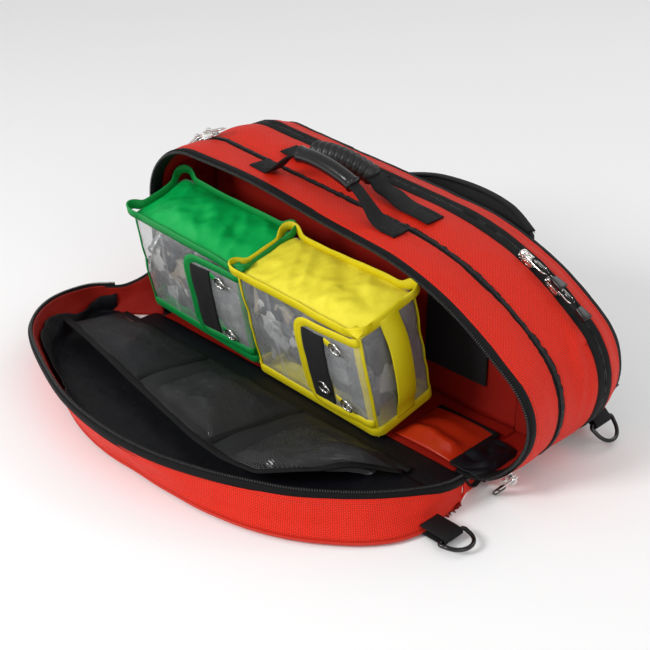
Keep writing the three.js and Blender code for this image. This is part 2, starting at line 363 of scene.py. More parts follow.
def tint(tree, shader, factor, low, high):
    # the base colour between two colours by a factor
    ramp = addNode(tree, "ShaderNodeMix", data_type="RGBA")
    tree.links.new(factor, ramp.inputs["Factor"])
    ramp.inputs[6].default_value = (*low, 1)
    ramp.inputs[7].default_value = (*high, 1)
    tree.links.new(ramp.outputs[2], shader.inputs["Base Color"])


def relief(tree, shader, height, strength, distance, under=None):
    bump = addNode(tree, "ShaderNodeBump")
    bump.inputs["Strength"].default_value = strength
    bump.inputs["Distance"].default_value = distance
    tree.links.new(height, bump.inputs["Height"])
    if under:
        tree.links.new(under, bump.inputs["Normal"])
    tree.links.new(bump.outputs[0], shader.inputs["Normal"])
    return bump.outputs[0]


def shaded(colour, factor):
    return tuple(min(1.0, c * factor) for c in colour)


def weave(name, colour, pitch, roughness=0.55, shine=0.5, depth=0.35, shade=0.72, crease=0.0):
    # a plain basket weave: bundles of thread over and under each other, with uneven dye and soft creases
    made, tree, shader = newMaterial(name, colour, roughness)
    shader.inputs["Specular IOR Level"].default_value = shine
    _, u, v = clothCoordinates(tree)
    a = sums(tree, "SINE", sums(tree, "MULTIPLY", u, math.pi / pitch))
    b = sums(tree, "SINE", sums(tree, "MULTIPLY", v, math.pi / pitch))
    cell = sums(tree, "MULTIPLY", a, b)
    lump = sums(tree, "POWER", sums(tree, "ABSOLUTE", cell), 0.55)
    side = sums(tree, "MULTIPLY_ADD", sums(tree, "SIGN", cell), 0.14, 0.0)
    uneven = sums(tree, "MULTIPLY_ADD", objectNoise(tree, 900.0, 2.0), 0.5, -0.25)
    height = sums(tree, "ADD", sums(tree, "ADD", lump, side), uneven)
    tint(tree, shader, height, shaded(colour, shade), shaded(colour, 1.12))
    normal = relief(tree, shader, height, 0.55, depth * mm)
    if crease:
        relief(tree, shader, objectNoise(tree, 38.0, 4.0, 0.6), crease, 1.6 * mm, normal)
    return made


def ribbed(name, colour, pitch, roughness=0.6, depth=0.4, shine=0.35):
    # webbing or zip tape: ribs across the run and a finer thread along it
    made, tree, shader = newMaterial(name, colour, roughness)
    shader.inputs["Specular IOR Level"].default_value = shine
    _, u, v = clothCoordinates(tree)
    a = sums(tree, "SINE", sums(tree, "MULTIPLY", u, 2 * math.pi / pitch))
    b = sums(tree, "SINE", sums(tree, "MULTIPLY", v, 2 * math.pi / (pitch * 0.8)))
    height = sums(tree, "MULTIPLY_ADD", sums(tree, "MULTIPLY", a, b), 0.5,
                  sums(tree, "MULTIPLY_ADD", objectNoise(tree, 1100.0, 2.0), 0.5, 0.25))
    tint(tree, shader, height, shaded(colour, 0.6), shaded(colour, 1.5))
    relief(tree, shader, height, 0.6, depth * mm)
    return made


def plainMaterial(name, colour, roughness, metallic=0.0, grain=900.0, depth=0.05, vary=0.12, **sockets):
    # a smooth or moulded finish with a fine grain, uneven colour and small scratches
    made, tree, shader = newMaterial(name, colour, roughness, metallic, **sockets)
    broad = objectNoise(tree, 70.0, 3.0)
    tint(tree, shader, broad, shaded(colour, 1 - vary), shaded(colour, 1 + vary))
    fine = objectNoise(tree, grain, 3.0)
    relief(tree, shader, fine, 0.4, depth * mm)
    spread = sums(tree, "MULTIPLY_ADD", broad, 0.16, roughness - 0.08)
    tree.links.new(spread, shader.inputs["Roughness"])
    return made


def netMaterial(name, colour, pitch):
    # a knitted net: threads in a hexagon-like grid with open holes between, the threads painted lighter as a
    # painted sheen
    made, tree, shader = newMaterial(name, colour, 0.6)
    _, u, v = clothCoordinates(tree)
    a = sums(tree, "SINE", sums(tree, "MULTIPLY", sums(tree, "ADD", u, v), math.pi / pitch))
    b = sums(tree, "SINE", sums(tree, "MULTIPLY", sums(tree, "SUBTRACT", u, v), math.pi / pitch))
    open_ = sums(tree, "MULTIPLY", sums(tree, "ABSOLUTE", a), sums(tree, "ABSOLUTE", b))
    thread = sums(tree, "LESS_THAN", open_, 0.58)
    tree.links.new(thread, shader.inputs["Alpha"])
    # painted sheen: the black threads are painted a lighter grey, lightest along their middles
    tint(tree, shader, open_, shaded(colour, 2.2), colour)
    relief(tree, shader, open_, -0.5, 0.4 * mm)
    return made


def vinylMaterial(name, colour, alpha):
    # clear flexible film with shallow ripples and a milky tint
    made, tree, shader = newMaterial(name, colour, 0.1)
    shader.inputs["IOR"].default_value = 1.5
    shader.inputs["Specular IOR Level"].default_value = 0.8
    ripple = objectNoise(tree, 48.0, 3.5, 0.6)
    haze = sums(tree, "MULTIPLY_ADD", ripple, 0.22, alpha - 0.11)
    tree.links.new(haze, shader.inputs["Alpha"])
    relief(tree, shader, ripple, 0.75, 3.0 * mm)
    return made


def pileMaterial(name, colour, scale=1400.0, depth=0.7):
    # a fuzzy loop or foam face
    made, tree, shader = newMaterial(name, colour, 0.9)
    fuzz = objectNoise(tree, scale, 4.0, 0.7)
    tint(tree, shader, fuzz, shaded(colour, 0.4), shaded(colour, 1.8))
    relief(tree, shader, fuzz, 0.9, depth * mm)
    return made


redNylon = weave("red_nylon", (0.82, 0.023, 0.006), 1.9, 0.5, 0.2, 0.8, 0.42, 0.35)
redLining = weave("red_lining", (0.3, 0.01, 0.005), 0.9, 0.5, 0.2, 0.2, 0.7, 0.4)
blackLining = weave("black_lining", (0.004, 0.004, 0.007), 0.8, 0.5, 0.25, 0.2, 0.6, 0.8)
greenNylon = weave("green_nylon", (0.0, 0.44, 0.085), 0.75, 0.4, 0.3, 0.18, 0.75, 0.45)
yellowNylon = weave("yellow_nylon", (0.95, 0.8, 0.05), 0.75, 0.4, 0.3, 0.18, 0.8, 0.45)
greenBinding = ribbed("green_binding", (0.0, 0.25, 0.045), 1.3, 0.5, 0.25)
yellowBinding = ribbed("yellow_binding", (0.76, 0.58, 0.005), 1.3, 0.45, 0.25)
redBinding = ribbed("red_binding", (0.5, 0.02, 0.007), 1.3, 0.55, 0.25)
webbingBlack = ribbed("webbing_black", (0.004, 0.004, 0.0045), 1.6, 0.6, 0.45, 0.22)
tapeBlack = ribbed("zip_tape_black", (0.004, 0.004, 0.0045), 1.1, 0.65, 0.25, 0.15)
coilBlack = plainMaterial("zip_coil_black", (0.014, 0.014, 0.015), 0.28, 0.0, 700.0, 0.03)
threadBlack = plainMaterial("thread_black", (0.014, 0.014, 0.015), 0.6, 0.0, 1500.0, 0.06)
threadRed = plainMaterial("thread_red", (0.5, 0.025, 0.006), 0.55, 0.0, 1500.0, 0.06)
threadGreen = plainMaterial("thread_green", (0.0, 0.11, 0.03), 0.55, 0.0, 1500.0, 0.06)
threadYellow = plainMaterial("thread_yellow", (0.55, 0.43, 0.01), 0.55, 0.0, 1500.0, 0.06)
chrome = plainMaterial("chrome", (0.72, 0.71, 0.69), 0.16, 1.0, 500.0, 0.02, 0.05)
rubberSmooth = plainMaterial("rubber_smooth", (0.005, 0.005, 0.0055), 0.2, 0.0, 600.0, 0.03)
rubberGrip = plainMaterial("rubber_grip", (0.005, 0.005, 0.005), 0.42, 0.0, 1300.0, 0.08)
plasticBlack = plainMaterial("plastic_black", (0.005, 0.005, 0.0055), 0.25, 0.0, 900.0, 0.03)
coatedOrange = plainMaterial("coated_orange", (0.42, 0.022, 0.005), 0.2, 0.0, 260.0, 0.1)
loopPile = pileMaterial("loop_pile", (0.005, 0.005, 0.0055))
hookTape = pileMaterial("hook_tape", (0.004, 0.004, 0.0045), 2000.0, 0.4)
foamMesh = pileMaterial("back_mesh", (0.006, 0.006, 0.007), 600.0, 0.9)
blackNet = netMaterial("black_net", (0.006, 0.006, 0.007), 2.9)
clearVinyl = vinylMaterial("clear_vinyl", (0.6, 0.62, 0.63), 0.17)
wrapWhite = plainMaterial("wrap_white", (0.62, 0.62, 0.6), 0.4, 0.0, 120.0, 0.5)
wrapSilver = plainMaterial("wrap_silver", (0.62, 0.62, 0.62), 0.22, 0.55, 120.0, 0.7)
wrapFoil = plainMaterial("wrap_foil", (0.2, 0.2, 0.205), 0.16, 0.65, 160.0, 0.9)
wrapGrey = plainMaterial("wrap_grey", (0.13, 0.13, 0.135), 0.35, 0.0, 120.0, 0.5)
wrapDark = plainMaterial("wrap_dark", (0.02, 0.022, 0.03), 0.3, 0.0, 120.0, 0.5)
wrapTan = plainMaterial("wrap_tan", (0.42, 0.36, 0.27), 0.5, 0.0, 120.0, 0.5)
print("materials", len(bpy.data.materials))


# the side outline of the bag

bag = {"left": -260.0, "footRadius": 14.0, "cornerRadius": 68.0, "topAngle": 86.0, "shoulderRadius": 300.0,
       "endAngle": 50.0, "endCentre": (189.5, 72.5), "endRadius": 72.5}


def outlineParts():
    end, r = bag["endCentre"], bag["endRadius"]
    a, b = math.radians(bag["endAngle"]), math.radians(bag["topAngle"])
    big = bag["shoulderRadius"]
    shoulder = (end[0] - (big - r) * math.cos(a), end[1] - (big - r) * math.sin(a))
    top = (shoulder[0] + big * math.cos(b), shoulder[1] + big * math.sin(b))
    corner = bag["cornerRadius"]
    cx = bag["left"] + corner
    startX = cx + corner * math.cos(b)
    startZ = top[1] + (top[0] - startX) / math.tan(b)
    cz = startZ - corner * math.sin(b)
    foot = bag["footRadius"]
    arc, line = "arc", "line"
    return [(arc, (bag["left"] + foot, foot), foot, 1.5 * math.pi, math.pi),
            (line, (bag["left"], foot), (bag["left"], cz), math.pi),
            (arc, (cx, cz), corner, math.pi, b),
            (line, (startX, startZ), top, b),
            (arc, shoulder, big, b, a),
            (arc, end, r, a, -math.pi / 2)]


parts = outlineParts()
partLengths = [abs(p[3] - p[4]) * p[2] if p[0] == "arc" else math.dist(p[1], p[2]) for p in parts]
outlineLength = sum(partLengths)


def outlineAt(t, out=0.0):
    # X, Z and the outward direction at share t of the outline, moved outwards
    run = t * outlineLength
    for part, length in zip(parts, partLengths):
        if run <= length + 1e-6 or part is parts[-1]:
            break
        run -= length
    share = run / length
    if part[0] == "arc":
        angle = mix(part[3], part[4], share)
        reach = part[2] + out
        return part[1][0] + reach * math.cos(angle), part[1][1] + reach * math.sin(angle), angle
    angle = part[3]
    return (mix(part[1][0], part[2][0], share) + out * math.cos(angle),
            mix(part[1][1], part[2][1], share) + out * math.sin(angle), angle)


def shareAtX(x):
    # the share of the outline whose upper side is at X
    low, high = (partLengths[0] + partLengths[1]) / outlineLength, 1 - partLengths[5] * 0.36 / outlineLength
    for _ in range(40):
        t = (low + high) / 2
        if outlineAt(t)[0] < x:
            low = t
        else:
            high = t
    return low


def shareAtEnd(degrees):
    # the share of the outline at an angle of the round end
    turned = (bag["endAngle"] - degrees) / (bag["endAngle"] + 90)
    return 1 - partLengths[5] * (1 - turned) / outlineLength


def onOutline(t, y, out=0.0):
    x, z, angle = outlineAt(t, out)
    return Vector((x, y, z)), Vector((math.cos(angle), 0, math.sin(angle)))


# body fabric

skin = {"frontEdge": 1.0, "expansionSeam": 53.6, "rearSeam": 120.2, "backEdge": 156.0, "thick": 3.2,
        "puff": 3.6, "wrinkle": 1.3, "pucker": 0.8}


def swell(t, y):
    # how far the padded fabric stands out from the outline
    x, z, _ = outlineAt(t)
    run = t * outlineLength
    seams = (skin["frontEdge"], skin["expansionSeam"], skin["rearSeam"], skin["backEdge"] + 8)
    low = max(s for s in seams if s <= y) if y >= seams[0] else seams[0]
    high = min((s for s in seams if s > y), default=seams[-1])
    v = max(0.0, min(1.0, (y - low) / max(high - low, 1e-6)))
    arc = math.sin(math.pi * v) ** 0.7
    out = skin["puff"] * arc * (1.25 if low == seams[1] else 1.0)
    out += skin["wrinkle"] * arc * (rough(x, y, z, 46) + 0.45 * rough(x, y * 1.6, z, 17, 3.0))
    nearSeam = min(y - low, high - y)
    out += skin["pucker"] * math.exp(-max(nearSeam, 0) / 5.0) * rough(run, y * 0.3, 0, 5.5, 7.0) * (y > 8)
    if low == seams[0]:
        out += (1 - v) ** 2 * (7 * hill(x, -96, 95) + 8 * hill(t, shareAtEnd(12), 0.045))
    if y > seams[2]:
        out -= 9.0 * smooth((y - 126) / 34)
    if low == seams[1]:
        end = hill(t, shareAtEnd(22), 0.06)
        out -= end * (3.5 * hill(y, 78, 11) + 2.6 * hill(y + (run % 90) * 0.2, 104, 6))
        out += 2.0 * hill(x, -150, 60) * arc
    return out * smooth(z / 45)


def onBody(t, y, lift=0.0):
    return onOutline(t, y, swell(t, y) + lift)


def gusset(name, low, high, body, slot, outer, inner, replaced, along=24, thick=skin["thick"]):
    def place(u, v):
        y = mix(low, high, v)
        return onBody(u, y)[0]
    bm = bentGrid(420, along, place, (outlineLength, high - low), (0, (low + high) / 2, 60))
    piece = newPiece(name, bm, body, slot, [outer, inner], replaced)
    thicken(piece, thick, -1.0, 1)
    return piece


gusset("front_gusset_fabric", 1.0, 53.3, "body", "red_nylon", redNylon, redLining, ["front_gusset"])
gusset("mid_gusset_fabric", 53.9, 119.9, "body", "red_nylon", redNylon, redLining, ["mid_gusset"], 28)


def rearPlace(u, v):
    # runs back from the rear zip, then turns in over the edge of the back panel
    straight = 0.72
    if v < straight:
        return onBody(u, mix(120.4, 150.0, v / straight))[0]
    turn = (v - straight) / (1 - straight) * math.pi / 2
    start = swell(u, 150.0)
    depth = 150.0 + 8.0 * math.sin(turn)
    return onOutline(u, depth, start - 8.0 * (1 - math.cos(turn)) - start * turn / 3)[0]


bm = bentGrid(420, 22, rearPlace, (outlineLength, 42), (0, 130, 60))
rearFabric = newPiece("rear_gusset_fabric", bm, "rear_door", "red_nylon", [redNylon, redLining],
                      ["rear_gusset"])
thicken(rearFabric, skin["thick"], -1.0, 1)


def archLine(y, lift, count=440, low=0.0, high=1.0):
    # points and outward directions along the outline at a depth
    rows = [onBody(mix(low, high, i / count), y, lift) for i in range(count + 1)]
    return [Vector((p.x, p.y, max(p.z, 1.0))) for p, _ in rows], [n for _, n in rows]


def teethAlong(bm, points, ups, pitch, size):
    # repeated coil teeth, each a small block with bevelled ends, across the run
    total = lineLength(points)
    count = int(total / pitch)
    spots = resample(points, count)
    for i in range(count):
        p, q = spots[i], spots[i + 1]
        way = (q - p).normalized()
        up = Vector(ups[min(len(ups) - 1, round(i * (len(ups) - 1) / count))])
        up = (up - way * up.dot(way)).normalized()
        side = way.cross(up)
        turn = axes(way, side, up)
        addBlock(bm, (p + q) / 2, size, turn)


def zipCoil(name, points, ups, body, width=3.4, height=1.7, pitch=1.9, lines=(0,)):
    bm = bmesh.new()
    for shift in lines:
        moved = []
        for i, p in enumerate(points):
            way = (points[min(i + 1, len(points) - 1)] - points[max(i - 1, 0)]).normalized()
            moved.append(p + way.cross(Vector(ups[i])).normalized() * shift)
        teethAlong(bm, moved, ups, pitch, (pitch * 0.62, width, height))
    softenEdges(bm, 0.28, 1)
    return newPiece(name, bm, body, "zip_tape", [coilBlack])


def zipTape(name, y, width, body, replaced=(), lift=0.9, thick=1.0, low=0.0, high=1.0):
    points, ups = archLine(y, lift, 360, low, high)
    return strip(name, points, ups, width, thick, body, "zip_tape", tapeBlack, replaced=replaced)


# main opening: a folded tape round the edge, with its row of teeth standing forwards
def rimPlace(u, v):
    # a tape that starts outside the edge, turns over it and ends inside
    turn = mix(-0.6, math.pi + 0.5, v)
    p, n = onBody(u, 1.0, -1.5)
    reach = 2.6
    return p + n * (reach * math.cos(turn)) + Vector((0, -1, 0)) * (reach * 1.1 * math.sin(turn)) \
        + Vector((0, 1, 0)) * (6.0 * max(0.0, -math.sin(turn)) if turn < 0 else 0.0) \
        + Vector((0, 1, 0)) * (9.0 * smooth((turn - 2.9) / 0.8))


bm = bentGrid(420, 14, rimPlace, (outlineLength, 16), None)
mainTape = newPiece("main_zip_tape_body", bm, "body", "zip_tape", [tapeBlack], ["main_zip_body"])
thicken(mainTape, 0.7, 0.0)
points, ups = archLine(1.0, -1.5)
points = [p + Vector((0, -4.0, 0)) for p in points]
zipCoil("main_zip_teeth_body", points, [Vector((0, -1, 0))] * len(points), "body", 2.6, 2.2, 2.3)

zipTape("expansion_tape", 53.6, 11.0, "body", ["expansion_zip"])
points, ups = archLine(53.6, 1.9)
zipCoil("expansion_coil", points, ups, "body", width=1.9, height=1.5, lines=(-1.1, 1.1))
zipTape("rear_tape_body", 114.9, 11.0, "body", ["rear_zip_body"])
zipTape("rear_tape_door", 125.6, 11.0, "rear_door", ["rear_zip_door"])
points, ups = archLine(119.4, 1.9)
zipCoil("rear_teeth_body", points, ups, "body", width=1.9, height=1.6)
points, ups = archLine(121.6, 1.9)
zipCoil("rear_teeth_door", points, ups, "rear_door", width=1.9, height=1.6)


def seamRow(name, y, body, material=threadRed, lift=0.15, pitch=3.4, low=0.01, high=0.99):
    points, ups = archLine(y, lift, 300, low, high)
    return stitches(name, [list(zip(points, ups))], body, "red_nylon", material, pitch)


for name, y, body in (("front_edge_stitch", 9.5, "body"), ("front_seam_stitch", 46.6, "body"),
                      ("mid_seam_stitch", 60.6, "body"), ("mid_rear_stitch", 107.8, "body"),
                      ("rear_seam_stitch", 132.6, "rear_door")):
    seamRow(name, y, body)


# inside of the bag

def acrossOutline(u, v, y, inset):
    # a point of an upright panel: v 0 on the outline and v 1 on the floor below it
    p, _ = onOutline(u, y, -inset)
    floorX = max(-244.0, min(188.0, p.x))
    return Vector((mix(p.x, floorX, smooth(v * 1.4)), y, mix(max(p.z, 4.6), 4.6, v)))


def dividerPlace(u, v):
    p = acrossOutline(u, v, 91.5, 5.0)
    p.y += 2.0 * rough(p.x, p.z, 0, 55, 2.0) + 0.6 * rough(p.x, p.z, 5, 16)
    return p


bm = bentGrid(150, 24, dividerPlace, (outlineLength, 200), (0, 200, 60))
divider = newPiece("divider_lining", bm, "body", "dark_lining", [redLining], ["divider_panel"])
thicken(divider, 2.4, 0.0)


def floorPlace(u, v):
    x = mix(-245.0, 189.0, u)
    y = mix(-12.0, 155.5, v)
    return Vector((x, y, 3.6 + 0.5 * rough(x, y, 0, 35)))


bm = bentGrid(90, 40, floorPlace, (434, 168), (0, 60, -50))
floorLining = newPiece("floor_lining", bm, "body", "dark_lining", [redLining, redNylon], ["floor_panel"])
thicken(floorLining, 3.2, -1.0, 1)


def slab(name, low, high, body, slot, material, replaced=(), radius=1.0, seed=0.0, lumps=0.0, cuts=8):
    # a soft edged panel between two corners
    bm = bmesh.new()
    size = Vector(high) - Vector(low)
    middle = (Vector(low) + Vector(high)) / 2
    addBlock(bm, middle, size)
    softenEdges(bm, radius)
    divideLong(bm, max(size) * 0.3, cuts)
    for vert in bm.verts:
        vert.co += vert.normal * lumps * rough(*vert.co, 22, seed)
    boxUV(bm)
    return newPiece(name, bm, body, slot, [material], replaced)


def boxUV(bm):
    # a UV map in millimetres, from the side that each face looks to
    layer = bm.loops.layers.uv.get("cloth") or bm.loops.layers.uv.new("cloth")
    bm.normal_update()
    for face in bm.faces:
        n = [abs(c) for c in face.normal]
        flat = n.index(max(n))
        for loop in face.loops:
            co = loop.vert.co
            loop[layer].uv = (co.y, co.z) if flat == 0 else (co.x, co.z) if flat == 1 else (co.x, co.y)


slab("loop_panel_pile", (70, 87.6, 40), (150, 89.8, 150), "body", "loop_pile", loopPile, ["loop_panel"], 0.8)
edge = [(70.5, 87.2, 40.5), (149.5, 87.2, 40.5), (149.5, 87.2, 149.5), (70.5, 87.2, 149.5)]
edgeLine = [(p, (0, -1, 0)) for p in resample(edge + edge[:1], 60)]
stitches("loop_panel_stitch", [edgeLine], "body", "loop_pile", threadBlack)


def flapPlace(u, v):
    # a coated flap that lies rumpled on the floor
    x, y = mix(108, 182, u), mix(2, 70, v)
    edge = min(1.0, 5 * min(u, 1 - u, v, 1 - v))
    hump = 8.0 * math.sin(math.pi * u) * math.sin(math.pi * v) ** 0.6 + 4.0 * hill(v, 0.25, 0.12) * edge
    return Vector((x, y, 6.4 + max(0.0, hump + edge * 2.6 * rough(x, y, 0, 24, 6.0))))


bm = bentGrid(50, 44, flapPlace, (74, 68), (145, 36, -60))
flapCloth = newPiece("floor_flap_cloth", bm, "body", "coated_orange", [coatedOrange], ["floor_flap"])
thicken(flapCloth, 1.6, -1.0)
edge = [flapPlace(1, 0), flapPlace(1, 1), flapPlace(0, 1)]
webbing("floor_flap_binding", resample(edge, 60), (0, 0, 1), 7.0, 2.6, "body")


def cornerFlapPlace(u, v):
    # the folded end of the lining in the corner beside the zip's end
    x, y = mix(182, 224, u), mix(-2, 60, v)
    fold = 5.0 * abs(rough(x, y, 0, 18, 3.0)) + 7.0 * hill(u, 0.75, 0.25) * math.sin(math.pi * v)
    return Vector((x, y, 7.6 + fold))


bm = bentGrid(36, 40, cornerFlapPlace, (42, 62), (200, 30, -60))
cornerFlap = newPiece("corner_lining_flap", bm, "body", "dark_lining", [blackLining])
thicken(cornerFlap, 1.4, -1.0)
print("body fabric")


# lid

lid = {"hinge": -30.0, "turn": 84.0, "rim": 25.5, "lift": 8.0, "footIn": 28.0, "footOut": 22.0, "thick": 3.4}


# X and height of the lid's rim when closed, from its left hinge end round to the right one
lidRim = [(-296, 7), (-309, 35), (-306, 74), (-291, 108), (-262, 142), (-224, 166), (-166, 190),
          (-112, 207), (-62, 213), (-18, 211), (30, 201), (84, 181),
          (128, 156), (160, 130), (192, 94), (214, 54), (223, 28),
          (224, 8)]


def opened(x, out, up):
    # a point of the open lid: out is its height and up its depth when the lid is closed
    turn = math.radians(lid["turn"])
    return Vector((x, lid["hinge"] + up * math.cos(turn) - out * math.sin(turn),
                   1.75 + up * math.sin(turn) + out * math.cos(turn)))


lidCount = 300
rimLine = []
for x, out, _ in curveThrough([(x, out, 0) for x, out in lidRim], lidCount):
    p = opened(x, out, lid["rim"])
    p.z += 1.4 * rough(p.x, p.y, 0, 60) + lid["lift"] * smooth((40 - x) / 200)
    rimLine.append(p)
lidMiddle = Vector((-30, -95, 0))


def towardMiddle(i):
    # the inward direction of the rim, level with the ground
    before, after = rimLine[max(i - 1, 0)], rimLine[min(i + 1, lidCount)]
    way = (after - before).normalized()
    side = Vector((-way.y, way.x, 0)).normalized()
    return side if side.dot(lidMiddle - rimLine[i]) > 0 else -side


inward = [towardMiddle(i) for i in range(lidCount + 1)]
for _ in range(6):
    inward = [(inward[max(i - 1, 0)] + inward[i] + inward[min(i + 1, lidCount)]).normalized()
              for i in range(lidCount + 1)]


def rimAt(u):
    k = max(0.0, min(0.99999, u)) * lidCount
    i = int(k)
    return rimLine[i].lerp(rimLine[i + 1], k - i), inward[i].lerp(inward[i + 1], k - i).normalized()


def lidFoot(u, depth=0.0):
    p, inner = rimAt(u)
    lean = mix(lid["footIn"], -lid["footOut"], smooth((p.x + 40) / 250)) * smooth(min(u, 1 - u) * 9)
    q = p + inner * (lean + depth)
    q.z = 0.7 + depth
    return q


def lidWall(u, v, depth=0.0):
    # v 0 at the rim, 0.4 at the foot and 1 at the hinge line; depth moves it to the inside
    p, inner = rimAt(u)
    foot = lidFoot(u, depth)
    if v < 0.4:
        w = v / 0.4
        q = (p + inner * depth).lerp(foot, w)
        round_ = 5.0 * math.sin(math.pi * w)
        round_ += 4.5 * smooth((w - 0.55) / 0.35) * (1 - smooth((w - 0.9) / 0.1))
        wave = 2.3 * rough(q.x, q.y, q.z * 1.4, 42, 4.0) + 0.8 * rough(q.x, q.y, q.z, 14, 9.0)
        q -= inner * (round_ + wave * math.sin(math.pi * w)) * smooth(min(u, 1 - u) * 14)
        return Vector((q.x, q.y, max(q.z, 0.3)))
    w = (v - 0.4) / 0.6
    hingePoint = Vector((max(-258.0, min(232.0, foot.x)), -44.0, 0.7 + depth))
    q = foot.lerp(hingePoint, w)
    q.z = max(0.3, q.z + depth * 0.12 * rough(q.x, q.y, 0, 38, 5.0))
    return q


rimRun = lineLength(rimLine)
bm = bentGrid(300, 56, lidWall, (rimRun, 150), (-30, -110, 60))
lidShell = newPiece("lid_shell", bm, "lid", "red_nylon", [redNylon, redLining], ["lid_gusset", "lid_panel"])
thicken(lidShell, lid["thick"], -1.0, 1)


def liningPlace(u, v):
    # the black lining starts lower in two stretches, where the red inside of the wall shows
    gap = 0.16 * hill(u, 0.07, 0.05) + 0.12 * hill(u, 0.33, 0.06) + 0.02 * rough(u * 60, 0, 0, 1.0)
    start = 0.075 + gap
    down = mix(start, 1.0, v)
    q = lidWall(u, down, 5.0)
    _, inner = rimAt(u)
    clear = 3.2 * math.sin(math.pi * min(1.0, down / 0.4))
    fold = 1.6 * rough(q.x, q.y, q.z, 34, 12.0) + 0.8 * rough(q.x, q.y, q.z, 13, 14.0)
    return q + inner * (clear + abs(fold) * (v < 0.4)) + Vector((0, 0, abs(fold) * (v > 0.25)))


bm = bentGrid(260, 60, liningPlace, (rimRun, 150), (-30, -110, -500))
lidLining = newPiece("lid_lining", bm, "lid", "dark_lining", [blackLining])
thicken(lidLining, 1.2, -1.0)


def lidTapePlace(u, v):
    turn = mix(-0.5, math.pi + 0.5, v)
    p, inner = rimAt(u)
    q = p + Vector((0, 0, -1.0)) - inner * (2.5 * math.cos(turn)) + Vector((0, 0, 2.6 * math.sin(turn)))
    return q - Vector((0, 0, 3.0 * smooth((-turn) / 0.5) + 10.0 * smooth((turn - 2.9) / 0.7)))


bm = bentGrid(360, 16, lidTapePlace, (rimRun, 16), None)
lidTape = newPiece("main_zip_tape_lid", bm, "lid", "zip_tape", [tapeBlack], ["main_zip_lid"])
thicken(lidTape, 0.7, 0.0)
points = [rimAt(i / 400)[0] + rimAt(i / 400)[1] * 0.4 + Vector((0, 0, 2.6)) for i in range(401)]
zipCoil("main_zip_teeth_lid", points, [Vector((0, 0, 1))] * 401, "lid", 2.6, 2.2, 2.3)


def wallRow(v, shift=0.2):
    rows = []
    for i in range(241):
        u = mix(0.03, 0.97, i / 240)
        _, inner = rimAt(u)
        rows.append((lidWall(u, v) - inner * shift, -inner))
    return rows


stitches("lid_rim_stitch", [wallRow(0.075)], "lid", "red_nylon", threadRed, 3.4)
stitches("lid_foot_stitch", [wallRow(0.335)], "lid", "red_nylon", threadRed, 3.4)
spots = [mix(0.03, 0.95, i / 240) for i in range(241)]
points = [lidWall(u, 0.362) - rimAt(u)[1] * 0.8 for u in spots]
tube("lid_foot_piping", points, 1.5, "lid", "red_nylon", redBinding, 8)


# fabric along the lid's hinge

hingeBend = ("body", "lid", (0, -18 * mm, 0), (0, -42 * mm, 0))


def spinePlace(u, v):
    y = mix(-6.0, -52.0, v)
    x = mix(-256, 206 + 18 * smooth((-y - 34) / 16), u)
    return Vector((x, y, 4.4 + 0.8 * rough(x, y, 0, 26, 6.0) + 1.6 * math.sin(math.pi * v)))


bm = bentGrid(120, 14, spinePlace, (486, 46), (0, -30, -90))
spine = newPiece("spine_fabric", bm, None, "dark_lining", [blackLining, redNylon], bend=hingeBend)
thicken(spine, 3.0, -1.0, 1)


def cornerWeb(name, bodySide, lidSide, drop):
    # a folded web between the end of the body's rim and the end of the lid's rim
    def place(u, v):
        top = bodySide.lerp(lidSide, u)
        low = Vector((mix(bodySide.x, lidSide.x, u) - drop * (1 - u * u),
                      mix(bodySide.y, lidSide.y, u), 1.6))
        q = top.lerp(low, v)
        q.z -= 9.0 * math.sin(math.pi * u) * (1 - v)
        q.x += (3.0 * math.sin(math.pi * v) + 1.4 * rough(q.y, q.z, 0, 14)) * (1 if bodySide.x > 0 else -1)
        return q
    bm = bentGrid(24, 14, place, (50, 30), (0, -20, 20))
    web = newPiece(name, bm, None, "red_nylon", [redNylon, redLining], bend=hingeBend)
    thicken(web, 2.4, -1.0, 1)
    edge = [place(i / 20, 0.0) for i in range(21)]
    strip(name + "_tape", edge, (0, 0, 1), 6.0, 1.8, None, "zip_tape", tapeBlack, bend=hingeBend)


rightEnd = onBody(0.965, 2.0)[0]
leftEnd = onBody(0.075, 2.0)[0]
cornerWeb("corner_web_right", rightEnd + Vector((-2, -2, 1)), rimAt(1.0)[0] + Vector((-1, 2, -1)), 8.0)
cornerWeb("corner_web_left", leftEnd + Vector((2, -2, 2)), rimAt(0.02)[0] + Vector((1, 0, -1)), -9.0)


# mesh pockets

mouth = [(-300, -110), (-225, -120), (-139, -137), (-63, -151), (6, -163), (46, -165), (82, -158),
         (118, -116), (145, -66), (166, -40)]
pocket = {"back": -38.0, "low": 7.5, "high": 24.0, "dividers": (-130.0, 15.0), "bulges": (15.0, 19.0, 21.0)}


def mouthAt(x):
    for (x0, y0), (x1, y1) in zip(mouth, mouth[1:]):
        if x <= x1:
            return mix(y0, y1, max(0.0, (x - x0) / (x1 - x0)))
    return mouth[-1][1]


def pocketPoint(x, v, bulge=0.0):
    front = mouthAt(x)
    y = mix(pocket["back"], front, v)
    reach = smooth((pocket["back"] - front) / 60)
    top = mix(pocket["low"], pocket["high"], reach)
    z = mix(pocket["low"], top, v ** 0.9) + 1.3 * rough(x, y, 0, 40, 8.0)
    return Vector((x, y, z + bulge * reach))


def flatten(piece):
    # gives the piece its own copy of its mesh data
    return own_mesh(piece)


